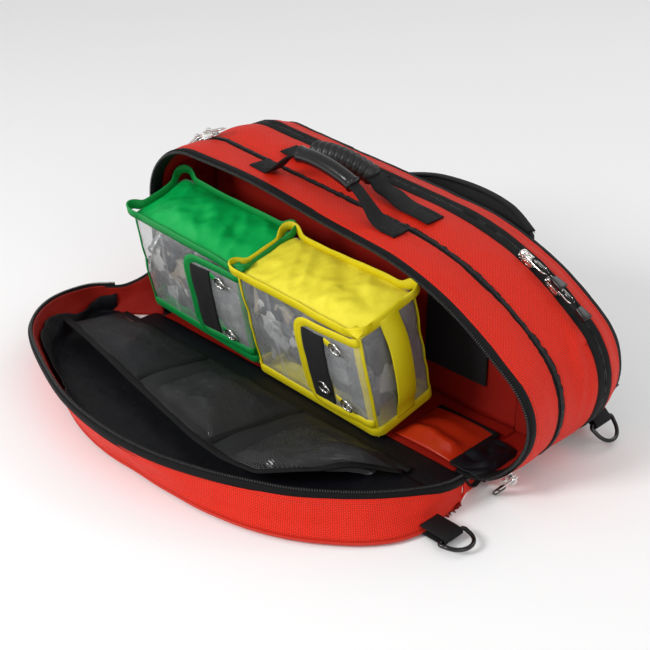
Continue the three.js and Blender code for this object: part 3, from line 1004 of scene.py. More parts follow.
spans = ((-276.0, pocket["dividers"][0]), pocket["dividers"], (pocket["dividers"][1], 160.0))
for (left, right), name, bulge in zip(spans, ("left", "middle", "right"), pocket["bulges"]):
    def netPlace(u, v):
        x = mix(left, right, u)
        arch = (math.sin(math.pi * u) ** 0.75) * (math.sin(math.pi * min(v, 0.999)) ** 0.6)
        lumps = 0.75 + 0.5 * rough(x, v * 90, 0, 33, bulge)
        return pocketPoint(x, v, bulge * arch * lumps + 0.7 * rough(x, v * 90, 0, 9, 2.0) * arch)
    def packetPlace(u, v):
        # wrapped supplies that push the net up from below
        p = netPlace(mix(0.13, 0.87, u), mix(0.14, 0.84, v))
        rim = max(abs(u - 0.5), abs(v - 0.5)) * 2
        p.z -= 2.4 + 11.0 * rim ** 6 + 2.0 * abs(rough(p.x, p.y, 0, 9, bulge))
        p.z = max(p.z, 6.4)
        return p
    bm = bentGrid(64, 44, netPlace, (right - left, 110), (mix(left, right, 0.5), -80, -300))
    flatten(newPiece("pocket_net_" + name, bm, "lid", "black_mesh", [blackNet], ["pocket_" + name]))
    bm = bentGrid(60, 40, packetPlace, (right - left, 110), (mix(left, right, 0.5), -80, -300))
    supplies = wrapDark if name == "left" else wrapFoil
    flatten(newPiece("pocket_supplies_" + name, bm, "lid", "contents", [supplies]))

points = [pocketPoint(x, 1.0) + Vector((0, 0, 1.5)) for x in [mix(-282, 160, i / 150) for i in range(151)]]
flatten(webbing("pocket_mouth_binding", points, (0, 0.25, 1), 11.0, 2.2, "lid"))
lines = []
for shift in (-4.0, 4.0):
    lines.append([(p + Vector((0, shift, 1.1 - 0.1 * shift)), (0, 0.25, 1)) for p in points])
flatten(stitches("pocket_mouth_stitch", lines, "lid", "black_webbing", threadBlack, 3.0))
for i, x in enumerate(pocket["dividers"]):
    points = [pocketPoint(x + 4 * (0.5 - v) * (1 if i else -1), v) + Vector((0, 0, 1.2))
              for v in [k / 30 for k in range(31)]]
    flatten(webbing(f"pocket_divider_{i + 1}", points, (0, 0, 1), 9.0, 1.8, "lid"))
points = [pocketPoint(x, 0.0) + Vector((0, 0, 0.8)) for x in [mix(-276, 164, k / 80) for k in range(81)]]
webbing("pocket_root_binding", points, (0, 0, 1), 9.0, 1.8, "lid")
print("lid")


# D rings

def dRing(name, place, turn, body, ringBody, reach=14):
    seat = Matrix.Translation(place) @ Matrix.Rotation(math.radians(turn), 4, "Y")
    line = [Vector((0, -15.5, 0)), Vector((0, 0, 0)), Vector((0, 15.5, 0))]
    line += [Vector((21.5 * math.sin(a) ** 0.8, 16 * math.cos(a), 0)) for a in
             [math.pi * k / 24 for k in range(2, 23)]]
    line = [seat @ p for p in curveThrough(line, 72, True)[:-1]]
    tube(name + "_ring", line, 2.05, ringBody, "smooth_rubber", rubberSmooth, 14, True,
         replaced=[name + "_d_ring"])
    fold = [Vector((-3.8 - reach * (1 - k / 13), 0, 3.4)) for k in range(14)]
    fold += [Vector((-3.4 + 7.2 * math.sin(a) - 0.4, 0, 3.4 * math.cos(a))) for a in
             [math.pi * k / 12 for k in range(1, 12)]]
    fold += [Vector((-3.8 - reach * k / 13, 0, -3.4)) for k in range(14)]
    ups = [seat.to_3x3() @ n for n in foldUps(fold)]
    bm = swept([seat @ p for p in fold], flatSection(25, 1.7), ups=ups)
    newPiece(name + "_webbing_tab", bm, body, "black_webbing", [webbingBlack], [name + "_ring_tab"])


def foldUps(line):
    ups = []
    for i in range(len(line)):
        way = line[min(i + 1, len(line) - 1)] - line[max(i - 1, 0)]
        ups.append(Vector((0, 1, 0)).cross(way).normalized())
    return ups


dRing("lid", (253.5, -85, 6.5), 0, "lid", "lid_ring", 22)
ringX = bag["endCentre"][0] + (bag["endRadius"] + 7.8) * math.cos(math.radians(-40))
ringZ = bag["endCentre"][1] + (bag["endRadius"] + 7.8) * math.sin(math.radians(-40))
dRing("door", (ringX, 144, ringZ), 40, "rear_door", "door_ring")


# handles

def topAt(x):
    # the height of the body's almost flat top
    return outlineAt(shareAtX(x))[1]


def lying(x, y, lift):
    # a point just above the fabric of the top
    t = shareAtX(x)
    return onBody(t, y, lift)[0]


def tabStitch(name, corners, up, body, bend=None):
    # a stitched box with its crossed diagonals
    box = list(corners) + [corners[0]]
    lines = [[(p, up) for p in resample(box, 24)], [(corners[0], up), (corners[2], up)],
             [(corners[1], up), (corners[3], up)]]
    stitches(name, lines, body, "black_webbing", threadBlack, 2.8, 2.0, 0.55, bend)


def handleBend(name, y):
    foot = Vector((-20, y, topAt(-20) + 3)) * mm
    return ("body", name, foot, foot + Vector((0.07, 0, 1)) * 9 * mm)


def handleStrap(name, points, widths, y, body):
    line = curveThrough(points, 120)
    ups = [-n for n in foldUps(line)]
    if ups[60].z < 0:
        ups = [-n for n in ups]

    def scaleAt(s):
        return widths(s), 1.0
    bm = swept(line, flatSection(25, 2.4), ups=ups, scaleAt=scaleAt)
    newPiece(name + "_webbing", bm, None, "black_webbing", [webbingBlack], [name + "_strap"],
             bend=handleBend(body, y))
    return line, ups


front = [lying(-121, 34, 2.0), lying(-108, 33, 2.1), lying(-97, 32, 3.0), (-86, 31, 224), (-70, 31, 238),
         (-52, 31, 245.5), (-18, 31, 243), (16, 31, 234.5), (32, 31, 225), (47, 32, 210), lying(57, 33, 3.0),
         lying(66, 34, 2.1), lying(78, 35, 2.0)]
handleStrap("front_handle", front, lambda s: 0.95 - 0.4 * smooth((0.5 - abs(s - 0.5)) * 5 - 0.35), 31,
            "front_handle")
tubeLine = [(-55, 31, 245.0), (-36, 31, 245.6), (-14, 31, 243), (6, 31, 238.2), (18, 31, 234)]
tubeLine = curveThrough(tubeLine, 40)
bm = swept(tubeLine, roundSection(8.0, 20), ups=(0, 1, 0),
           scaleAt=lambda s: (1.0 + 0.1 * hill(s, 0.0, 0.04) + 0.1 * hill(s, 1.0, 0.04),) * 2)
newPiece("front_handle_sleeve", bm, "front_handle", "smooth_rubber", [rubberSmooth], ["front_handle_tube"])
rear = [lying(-124, 80, 2.0), lying(-112, 80, 2.1), lying(-101, 80, 3.2), (-92, 80, 222), (-80, 80, 229),
        (-42, 80, 229.5), (-2, 80, 224), (12, 80, 215), lying(26, 80, 7.0), lying(40, 79, 3.4),
        lying(52, 79, 2.2), lying(66, 79, 2.0), lying(82, 79, 2.0)]
handleStrap("rear_handle", rear, lambda s: 1.0 - 0.25 * hill(s, 0.42, 0.2), 80, "rear_handle")


def ribs(s):
    ridge = 0.5 - 0.5 * math.cos(2 * math.pi * 10 * s)
    grow = 0.86 + 0.17 * ridge ** 0.6 * (0.02 < s < 0.98) + 0.07 * hill(s, 0.5, 0.4)
    return grow, grow


gripLine = [(-83, 80, 228), (-60, 80, 230.5), (-42, 80, 230.3), (-22, 80, 228), (0, 80, 223.5)]
gripLine = curveThrough(gripLine, 160)
bm = swept(gripLine, roundSection(10.6, 22), ups=(0, 1, 0), scaleAt=ribs)
newPiece("rear_handle_ribbed_grip", bm, "rear_handle", "grip_rubber", [rubberGrip], ["rear_handle_grip"])
for name, x0, x1, y in (("front_tab_left", -119, -101, 34), ("front_tab_right", 60, 76, 34.5),
                        ("rear_tab_left", -122, -104, 80), ("rear_tab_right", 56, 80, 79)):
    box = [lying(x, y + s, 3.5) for x, s in ((x0, -9), (x1, -9), (x1, 9), (x0, 9))]
    tabStitch(name + "_stitch", box, (0.07, 0, 1), "body")
print("handles")


# zip sliders

def sliderFrame(centre, radius, angle, y, turnedBack):
    a = math.radians(angle)
    out = Vector((math.cos(a), 0, math.sin(a)))
    along = Vector((math.sin(a), 0, -math.cos(a)))
    side = Vector((0, 1, 0))
    if turnedBack:
        along, side = -along, -side
    place = Vector((centre[0], y, centre[1])) + out * radius
    return Matrix.Translation(place) @ axes(along, side, out)


def sliderPieces(name, seat, cord):
    bm = bmesh.new()
    for z, thick in ((0.9, 1.6), (4.2, 1.6)):
        outline = []
        for k in range(24):
            a = 2 * math.pi * k / 24
            x = 10.2 * math.copysign(abs(math.cos(a)) ** 0.6, math.cos(a))
            wide = mix(4.0, 5.4, smooth((x + 10) / 20))
            outline.append(bm.verts.new((x, wide * math.copysign(abs(math.sin(a)) ** 0.6, math.sin(a)), z)))
        made = bmesh.ops.extrude_face_region(bm, geom=[bm.faces.new(outline)])
        for v in [g for g in made["geom"] if isinstance(g, bmesh.types.BMVert)]:
            v.co.z += thick - 0.8
    for sideWay in (-1, 1):
        addBlock(bm, (3.5, sideWay * 4.3, 2.6), (10.0, 1.0, 4.0))
    addBlock(bm, (6.5, 0, 2.6), (3, 2.4, 3.6))
    bridge = [(-8.0, 0, 4.6), (-7.4, 0, 7.2), (-5.0, 0, 9.0), (-1.0, 0, 9.2), (2.2, 0, 7.6), (3.4, 0, 4.8)]
    sweep(bm, curveThrough(bridge, 16), flatSection(3.2, 1.5), ups=(0, 1, 0))
    softenEdges(bm, 0.22, clamp_overlap=True)
    bmesh.ops.recalc_face_normals(bm, faces=bm.faces)
    bmesh.ops.transform(bm, matrix=seat, verts=bm.verts)
    newPiece(name + "_slider_body", bm, name + "_slider", "chrome", [chrome], [name + "_slider"])
    bm = bmesh.new()
    lift = 6.9
    ring = [(-8.6, 0, lift), (-7.6, 3.4, lift), (0, 3.2, lift), (12, 3.9, lift), (20, 4.2, lift),
            (23.4, 2.6, lift), (24.2, 0, lift), (23.4, -2.6, lift), (20, -4.2, lift),
            (12, -3.9, lift), (0, -3.2, lift),
            (-7.6, -3.4, lift)]
    sweep(bm, curveThrough(ring, 64, True)[:-1], roundSection(1.05, 10), ups=(0, 0, 1), closed=True)
    # a flat plate between the two sides of the wire
    addBlock(bm, (15.5, 0, lift), (11.0, 7.2, 0.9))
    bmesh.ops.transform(bm, matrix=seat, verts=bm.verts)
    newPiece(name + "_wire_pull", bm, name + "_pull", "chrome", [chrome], [name + "_pull"])
    if name == "main_right":
        bm = bmesh.new()
        tag = [(13, 0, lift), (15, 0, lift), (19, 0, lift), (24, 0, lift), (26.6, 0, lift)]
        sweep(bm, curveThrough(tag, 20), roundSection(4.6, 12), ups=(0, 0, 1),
              scaleAt=lambda s: (mix(1.25, 0.8, s) * min(1.0, 0.6 + 6 * min(s, 1 - s)), 0.55))
        bmesh.ops.transform(bm, matrix=seat, verts=bm.verts)
        newPiece(name + "_pull_tag", bm, name + "_pull", "black_plastic", [plasticBlack])
    if cord:
        # a cord lies along the wire, turns back at twice its own thickness and ends in the moulded tip
        turnAt, bend, over = 9.6, 4.1, lift + 2.1
        side = [(36, 1.4, lift), (31, 1.6, lift + 0.7), (26, 2.2, over), (20, 3.2, over), (14, 3.9, over)]
        loop = [(turnAt - bend * math.sin(math.pi * k / 6), bend * math.cos(math.pi * k / 6), over)
                for k in range(7)]
        back = [(x, -y, z) for x, y, z in reversed(side)]
        line = [seat @ p for p in curveThrough(side + loop + back, 90)]
        piece = tube(name + "_cord", line, 1.0, name + "_pull", "black_webbing", webbingBlack, 8)
        bm = bmesh.new()
        tip = addBlock(bm, (38.5, 0, lift), (14.5, 8.6, 5.2))
        for v in tip["verts"]:
            v.co.y *= 1.45 if v.co.x > 38 else 1.0
        softenEdges(bm, 1.2, 3)
        bmesh.ops.transform(bm, matrix=seat, verts=bm.verts)
        end = newPiece(name + "_cord_end", bm, name + "_pull", "black_plastic", [plasticBlack])


corner = (bag["left"] + bag["cornerRadius"], parts[2][1][1])
shoulder = parts[4][1]
mainRun, onWall = 1.6, 2.9
for name, centre, radius, angle, y, back, cord in (
        ("main_right", bag["endCentre"], bag["endRadius"] + mainRun, -38, -2.0, False, False),
        ("main_left", (corner[0], 62), bag["cornerRadius"] + mainRun, 180, -2.0, True, False),
        ("expansion_left", corner, bag["cornerRadius"] + onWall, 133, 53.5, True, False),
        ("expansion_right", corner, bag["cornerRadius"] + onWall, 111, 53.5, False, False),
        ("rear_upper", shoulder, bag["shoulderRadius"] + onWall, 66, 115.1, False, True),
        ("rear_lower", shoulder, bag["shoulderRadius"] + onWall, 59.2, 115.1, False, True)):
    sliderPieces(name, sliderFrame(centre, radius, angle, y, back), cord)
print("sliders")


# window pouches

pouch = {"size": (166.0, 78.0, 137.0), "lean": 14.0, "place": (-6.0, 6.2), "binding": 11.0,
         "centres": {"green": -163.0, "yellow": 14.0},
         # how each one has settled: longer by, moved by X and Y, turned level, left end raised (degrees)
         "settled": {"green": (1.04, -2.0, 0.0, 0.0, 4.5), "yellow": (1.08, 9.0, -9.0, -2.5, 0.0)}}


def wallAround(s, inset=0.0, radius=9.0):
    # a point and outward direction of the pouch's upright sides at share s, starting mid front
    half, deep = pouch["size"][0] / 2 - inset, pouch["size"][1] / 2 - inset
    r = radius
    runs = [half - r, math.pi * r / 2, 2 * (deep - r), math.pi * r / 2, 2 * (half - r), math.pi * r / 2,
            2 * (deep - r), math.pi * r / 2, half - r]
    run = s % 1.0 * sum(runs)
    corners = [(half - r, -deep + r), (half - r, deep - r), (-half + r, deep - r), (-half + r, -deep + r)]
    starts = [(0, -deep), (half, -deep + r), (half - r, deep), (-half, deep - r), (-half + r, -deep)]
    ways = [(1, 0), (0, 1), (-1, 0), (0, -1), (1, 0)]
    for i, length in enumerate(runs):
        if run <= length + 1e-9 or i == 8:
            break
        run -= length
    if i % 2 == 0:
        (x, y), (dx, dy) = starts[i // 2], ways[i // 2]
        return x + dx * run, y + dy * run, (dy, -dx)
    cx, cy = corners[i // 2]
    angle = -math.pi / 2 + (i // 2) * math.pi / 2 + run / r
    return cx + r * math.cos(angle), cy + r * math.sin(angle), (math.cos(angle), math.sin(angle))


def makePouch(name, cloth, bindingCloth, thread, seed):
    ox = pouch["centres"][name]
    deep, tall = pouch["size"][1], pouch["size"][2]
    half = pouch["size"][0] / 2
    lean = Matrix.Rotation(math.radians(pouch["lean"]), 4, "X")
    longer, moveX, moveY, level, raised = pouch["settled"][name]
    settle = Matrix.Translation((moveX, moveY, 0)) @ Matrix.Rotation(math.radians(level), 4, "Z")
    rock = Matrix.Translation((half, 0, 0)) @ Matrix.Rotation(math.radians(raised), 4, "Y") \
        @ Matrix.Diagonal((longer, 1, 1, 1)) @ Matrix.Translation((-half, 0, 0))
    seat = Matrix.Translation((ox, *pouch["place"])) @ settle @ lean @ rock \
        @ Matrix.Translation((0, deep / 2, 0))
    body, flapBody = name + "_pouch", name + "_flap"
    turn = seat.to_3x3()

    def finish(part, bm, slot, materials, replaced=(), rides=body):
        bmesh.ops.transform(bm, matrix=seat, verts=bm.verts)
        return newPiece(f"{name}_{part}", bm, rides, slot, materials, replaced)

    def bulge(s, z):
        # the film bows out between its bound edges and crumples a little
        x, y, n = wallAround(s)
        v = max(0.0, min(1.0, (z - 8) / (tall - 16)))
        faceShare = (abs(x) / half if abs(n[1]) > abs(n[0]) else abs(y) / (deep / 2))
        soft = math.sin(math.pi * v) ** 0.7
        out = 3.2 * soft * (1 - faceShare ** 3)
        out += 1.9 * rough(x, y, z, 26, seed) * soft + 0.9 * rough(x, y, z * 0.6, 11, seed + 4) * soft
        return out

    def around(s, z, lift=0.0):
        x, y, n = wallAround(s)
        reach = bulge(s, z) + lift
        slump = -5.0 * smooth((z - 60) / 77) * (0.5 + 0.5 * rough(x, y, 0, 60, seed))
        return Vector((x + n[0] * reach, y + n[1] * reach, z + slump)), Vector((n[0], n[1], 0))

    edge = 2 * (2 * half + deep)

    # clear film round the four sides
    bm = bentGrid(220, 40, lambda u, v: around(u, mix(6, tall - 6, v))[0], (edge, tall), (0, 0, tall / 2))
    film = finish("vinyl_window", bm, "clear_vinyl", [clearVinyl], [name + "_windows"])
    thicken(film, 0.6, 0.0)

    # coloured top, slumped over the contents, and the bottom
    def topPlace(u, v):
        ring = 2 * max(abs(u - 0.5), abs(v - 0.5))
        x, y = (u - 0.5) * 2 * half, (v - 0.5) * deep
        crown = 8.0 * (1 - ring ** 2.2) - 3.5 * hill(u, 0.62, 0.18) * hill(v, 0.55, 0.3)
        fold = 3.4 * rough(x, y * 1.4, 0, 34, seed) + 1.7 * rough(x * 1.6, y, 0, 14, seed + 2)
        fold += 1.6 * (1 - abs(rough(x + y * 0.5, y * 0.4, 0, 22, seed + 5)) * 4) * (ring < 0.95)
        z = tall - 7.0 + crown + fold * (1 - 0.75 * ring ** 4)
        slump = -5.0 * (0.5 + 0.5 * rough(x, y, 0, 60, seed))
        bow = 1 + 0.012 * math.sin(math.pi * (v if abs(u - 0.5) > abs(v - 0.5) else u)) * ring
        return Vector((x * bow, y * bow, z + slump))
    bm = bentGrid(72, 40, topPlace, (2 * half, deep), (0, 0, 0))
    top = finish("top_cloth", bm, name + "_nylon", [cloth], [name + "_top"])
    thicken(top, 1.4, -1.0)
    bm = bentGrid(40, 22, lambda u, v: Vector(((u - 0.5) * 2 * half * 0.99, (v - 0.5) * deep * 0.98,
                                               2.0 + 0.8 * rough(u * 160, v * 78, 0, 30, seed))),
                  (2 * half, deep), (0, 0, 100))
    base = finish("base_cloth", bm, name + "_nylon", [cloth], [name + "_base"])
    thicken(base, 1.6, -1.0)

    # bound edges: a folded tape that stands round the top, and one round the foot
    def boundEdge(part, z, lift, wide, ear, top):
        points, ups = [], []
        for i in range(240):
            s = i / 240
            p, n = around(s, z, lift)
            x, y, _ = wallAround(s)
            cornerShare = hill(abs(x), half - 3, 9) * hill(abs(y), deep / 2 - 3, 9)
            p += n * ear * cornerShare * 0.8
            p.z += ear * cornerShare + 1.1 * rough(p.x, p.y, 0, 24, seed + 6) * top
            points.append(p)
            ups.append(n)
        bm = swept(points, flatSection(wide, 2.4), ups=ups, closed=True)
        finish(part, bm, name + "_nylon", [bindingCloth])
        lower = Vector((0, 0, -wide * 0.32))
        row = [(seat @ (p + n * 1.25 + lower), turn @ n) for p, n in zip(points, ups)]
        stitches(f"{name}_{part}_stitch", [row], body, name + "_nylon", thread, 3.0)

    boundEdge("top_binding", tall - 4.0, 0.4, pouch["binding"], 8.0, 1)
    boundEdge("foot_binding", 7.0, 0.4, pouch["binding"] + 1, 1.5, 0)

    # upright coloured bindings at the corners
    def upright(part, s, wide, lowZ=6.0, highZ=tall - 8.0, lift=0.9, rides=body):
        rows = [around(s, mix(lowZ, highZ, i / 40), lift) for i in range(41)]
        points = [p for p, _ in rows]
        bm = swept(points, flatSection(wide, 1.8), ups=[n for _, n in rows])
        finish(part, bm, name + "_nylon", [bindingCloth], rides=rides)
    perimeter = 2 * (2 * half + deep) - 4 * 9 * (2 - math.pi / 2)
    shares = {"front_right": (half - 4) / perimeter, "front_left": 1 - (half - 4) / perimeter,
              "back_left": 0.5 + (half - 4) / perimeter, "back_right": 0.5 - (half - 4) / perimeter}
    for part in shares:
        upright("edge_" + part, shares[part], 9.0 if "front" in part else 10.0)
    rows = [around(1 - 38 / perimeter, mix(10, tall - 10, i / 40), 0.5) for i in range(41)]
    bm = swept([p for p, _ in rows], flatSection(5.0, 0.8), ups=[n for _, n in rows])
    finish("vinyl_seam", bm, "clear_vinyl", [clearVinyl])

    # hinged flap over the right of the front window: film, bound rim, hook tape and its ring snaps
    left, right, foot, head, r = 7.0, half - 1.0, 20.0, 124.0, 16.0
    flapRim = [(right, foot), (left + r, foot)]
    flapRim += [(left + r - r * math.sin(a), foot + r - r * math.cos(a)) for a in
                [math.pi / 2 * k / 8 for k in range(1, 9)]]
    flapRim += [(left + r - r * math.cos(a), head - r + r * math.sin(a)) for a in
                [math.pi / 2 * k / 8 for k in range(0, 9)]]
    flapRim += [(right, head)]

    def onFlap(x, z, lift=0.0):
        s = x / perimeter
        p, n = around(s, z)
        lifted = 3.0 + lift + 4.5 * smooth((right - x) / 76) * (0.6 + 0.4 * rough(x, z, 0, 40, seed + 9))
        return Vector((p.x, p.y - lifted, p.z)), Vector((0, -1, 0))

    rim = [onFlap(p.x, p.y) for p in resample([(x, z, 0) for x, z in flapRim], 120)]
    bm = swept([p for p, _ in rim], flatSection(10.0, 2.2), ups=[n for _, n in rim])
    finish("flap_binding", bm, name + "_nylon", [bindingCloth], [name + "_flap"], flapBody)
    stitchLine = [(seat @ (p + Vector((0, -1.2, 0))), turn @ n) for p, n in rim]
    stitches(name + "_flap_stitch", [stitchLine], flapBody, name + "_nylon", thread, 3.0)
    bm = bentGrid(30, 36, lambda u, v: onFlap(mix(left + 3, right, u), mix(foot + 3, head - 3, v))[0],
                  (right - left, head - foot), (0, 0, 60))
    flapFilm = finish("flap_film", bm, "clear_vinyl", [clearVinyl], rides=flapBody)
    thicken(flapFilm, 0.6, 0.0)

    def hookPlace(u, v):
        return onFlap(mix(left + 7, left + 33, u), mix(foot + 8, head - 8, v), 1.0)[0]
    bm = bentGrid(12, 40, hookPlace, (26, head - foot - 16), (0, 0, 60))
    hook = finish("flap_hook_tape", bm, "black_webbing", [hookTape], rides=flapBody)
    thicken(hook, 1.4, 0.0)
    for part, x, z in (("low", left + 47, foot + 14), ("high", left + 47, head - 16),
                       ("mid", left + 22, foot + 26)):
        if part == "mid" and name == "green":
            continue
        middle, n = onFlap(x, z, 2.0)
        bm = bmesh.new()
        for shift, radius in ((0.0, 6.2), (4.6, 4.4)):
            hang = -0.4 - shift * 0.25
            points = [middle + Vector((shift + radius * math.cos(a), hang, radius * math.sin(a)))
                      for a in ringAngles(32)]
            sweep(bm, points, roundSection(0.95, 8), ups=(0, -1, 0), closed=True)
        finish(f"ring_{part}", bm, "chrome", [chrome], rides=flapBody)
        bm = bmesh.new()
        tabPoints = [middle + Vector((-5.5 - 1.1 * k, 1.2, 0.4 * k)) for k in range(9)]
        sweep(bm, tabPoints, flatSection(8.0, 1.6), ups=(0, -1, 0))
        finish(f"ring_tab_{part}", bm, name + "_nylon", [bindingCloth], rides=flapBody)

    # wide webbing handle on the right end, sewn down at the top and the foot
    points = [(half + 1.6, 0, 10), (half + 2.4, 0, 20), (half + 7.5, 0, 38), (half + 9.5, 0, 70),
              (half + 8.5, 0, 100), (half + 3.0, 0, 122), (half + 1.0, 0, 131)]
    bm = swept(curveThrough(points, 60), flatSection(25.0, 2.2), ups=(1, 0, 0.001))
    finish("end_webbing_handle", bm, name + "_nylon", [bindingCloth], [name + "_end_handle"])
    # small pull tab at the top right corner
    points = [(half - 8, -deep / 2 + 2, tall - 2), (half - 4, -deep / 2 - 1, tall + 2),
              (half + 2, -deep / 2 - 3, tall + 3), (half + 7, -deep / 2 - 2, tall)]
    bm = swept(curveThrough(points, 20), flatSection(10.0, 1.8), ups=(0, -0.3, 1))
    finish("corner_tab", bm, name + "_nylon", [bindingCloth])

    # hook strip sewn to the bag's floor
    slab(name + "_hold_pile", (ox - 75, 4.5, 5.4), (ox + 75, 62, 7.6), name + "_hold", "loop_pile", hookTape,
         [name + "_hold_strip"], 0.8)

    # contents: wrapped dressings, rolls and flat packets standing behind the film
    kinds = (wrapWhite, wrapDark, wrapSilver, wrapGrey, filmWrap, wrapTan, wrapGrey)
    block = bmesh.new()
    addBlock(block, (0, 4, 62), (132, 46, 108))
    softenEdges(block, 8, 3)
    divideLong(block, 20, 22)
    for vert in block.verts:
        vert.co += vert.normal * (4.5 * rough(*vert.co, 24, seed) + 2.2 * rough(*vert.co, 10, seed + 1))
    finish("dressing_pack", block, "contents", [wrapGrey], [name + "_contents"])
    for i in range(34):
        side = i % 17
        if side < 11:
            place = Vector((mix(-70, 70, (side + 0.5) / 11), -27.5, random.uniform(26, 108)))
            size = Vector((random.uniform(20, 40), random.uniform(6, 9), random.uniform(26, 44)))
        else:
            place = Vector((math.copysign(71, (i % 2) - 0.5), random.uniform(-20, 20),
                            random.uniform(26, 105)))
            size = Vector((random.uniform(6, 9), random.uniform(18, 30), random.uniform(26, 44)))
        bm = bmesh.new()
        spin = Matrix.Rotation(random.uniform(-0.6, 0.6), 4, "Y" if side < 11 else "X")
        addBlock(bm, place, size, spin)
        softenEdges(bm, 1.6)
        divideLong(bm, 12, 7)
        for vert in bm.verts:
            vert.co += vert.normal * (2.6 * rough(*vert.co, 13, i + seed) + 1.0 * rough(*vert.co, 5, i))
            vert.co.x = max(-half + 3.5, min(half - 3.5, vert.co.x))
            vert.co.y = max(-deep / 2 + 2.6, min(deep / 2 - 3, vert.co.y))
        finish(f"packet_{i}", bm, "contents", [kinds[i % len(kinds)]])


filmWrap = vinylMaterial("film_wrap", (0.75, 0.76, 0.76), 0.55)
makePouch("green", greenNylon, greenBinding, threadGreen, 3.0)
makePouch("yellow", yellowNylon, yellowBinding, threadYellow, 17.0)
print("pouches")


# padded back and shoulder straps

harness = {"back": 157.4, "panel": 7.0, "strapFrom": 132.0, "strapTo": -112.0, "strapPeak": 26.0,
           "strapWidth": 60.0, "strapThick": 9.0, "voxel": 5.0, "pressure": 4.0, "cap": 8.0}


def plump(name, bm, body, slot, materials, replaced, held, cap=harness["cap"]):
    # blows a closed fabric shape up a little with a cloth simulation, held along its seams
    piece = newPiece(name, bm, None, slot, materials)
    addModifier(piece, "REMESH", mode="VOXEL", voxel_size=harness["voxel"] * mm, use_smooth_shade=True)
    remeshed = bpy.data.meshes.new_from_object(piece.evaluated_get(bpy.context.evaluated_depsgraph_get()))
    piece.modifiers.clear()
    piece.data = remeshed
    rest = [v.co.copy() for v in remeshed.vertices]
    group = piece.vertex_groups.new(name="held")
    for v in remeshed.vertices:
        share = held(v.co / mm)
        if share > 0:
            group.add([v.index], share, "REPLACE")
    cloth = addModifier(piece, "CLOTH")
    cloth.settings.vertex_group_mass = "held"
    cloth.settings.quality = 5
    cloth.settings.use_pressure = True
    cloth.settings.uniform_pressure_force = harness["pressure"]
    cloth.settings.tension_stiffness = 12
    cloth.settings.bending_stiffness = 0.8
    cloth.settings.effector_weights.gravity = 0
    for frame_ in range(1, 21):
        scene.frame_set(frame_)
    graph = bpy.context.evaluated_depsgraph_get()
    moved = [v.co.copy() for v in piece.evaluated_get(graph).data.vertices]
    piece.modifiers.clear()
    scene.frame_set(1)
    for v, start, end in zip(piece.data.vertices, rest, moved):
        step = end - start
        if step.length > cap * mm:
            step *= cap * mm / step.length
        v.co = start + step
    finished = bmesh.new()
    finished.from_mesh(piece.data)
    bmesh.ops.scale(finished, vec=(1 / mm,) * 3, verts=finished.verts)
    bmesh.ops.smooth_vert(finished, verts=finished.verts, factor=0.5, use_axis_x=True, use_axis_y=True,
                          use_axis_z=True)
    for v in finished.verts:
        share = 1 - held(v.co)
        v.co += v.normal * share * (0.9 * rough(*v.co, 24, 2.0) + 0.4 * rough(*v.co, 9, 5.0))
    boxUV(finished)
    bmesh.ops.scale(finished, vec=(mm,) * 3, verts=finished.verts)
    finished.to_mesh(piece.data)
    finished.free()
    for material in materials:
        if material.name not in [m.name for m in piece.data.materials if m]:
            piece.data.materials.append(material)
    piece.data.shade_smooth()
    subdivide(piece, 1)
    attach(piece, body)
    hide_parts(*replaced)
    return piece


def strapPoint(share, z):
    # the arched line of a shoulder strap, seen from above, with its sideways curve in Z
    s = harness
    x0, x2 = s["strapFrom"], s["strapTo"]
    x = (1 - share) ** 2 * x0 + 2 * share * (1 - share) * 40 + share ** 2 * x2
    y = s["back"] + s["panel"] + 1.6 + 2 * share * (1 - share) * (s["strapPeak"] + 26) * 0.78
    curve = 14.0 * (1 - ((share - 0.45) / 0.5) ** 2)
    return Vector((x, y + 3.0, z - 8 + curve if z > 100 else z + 8 - curve))


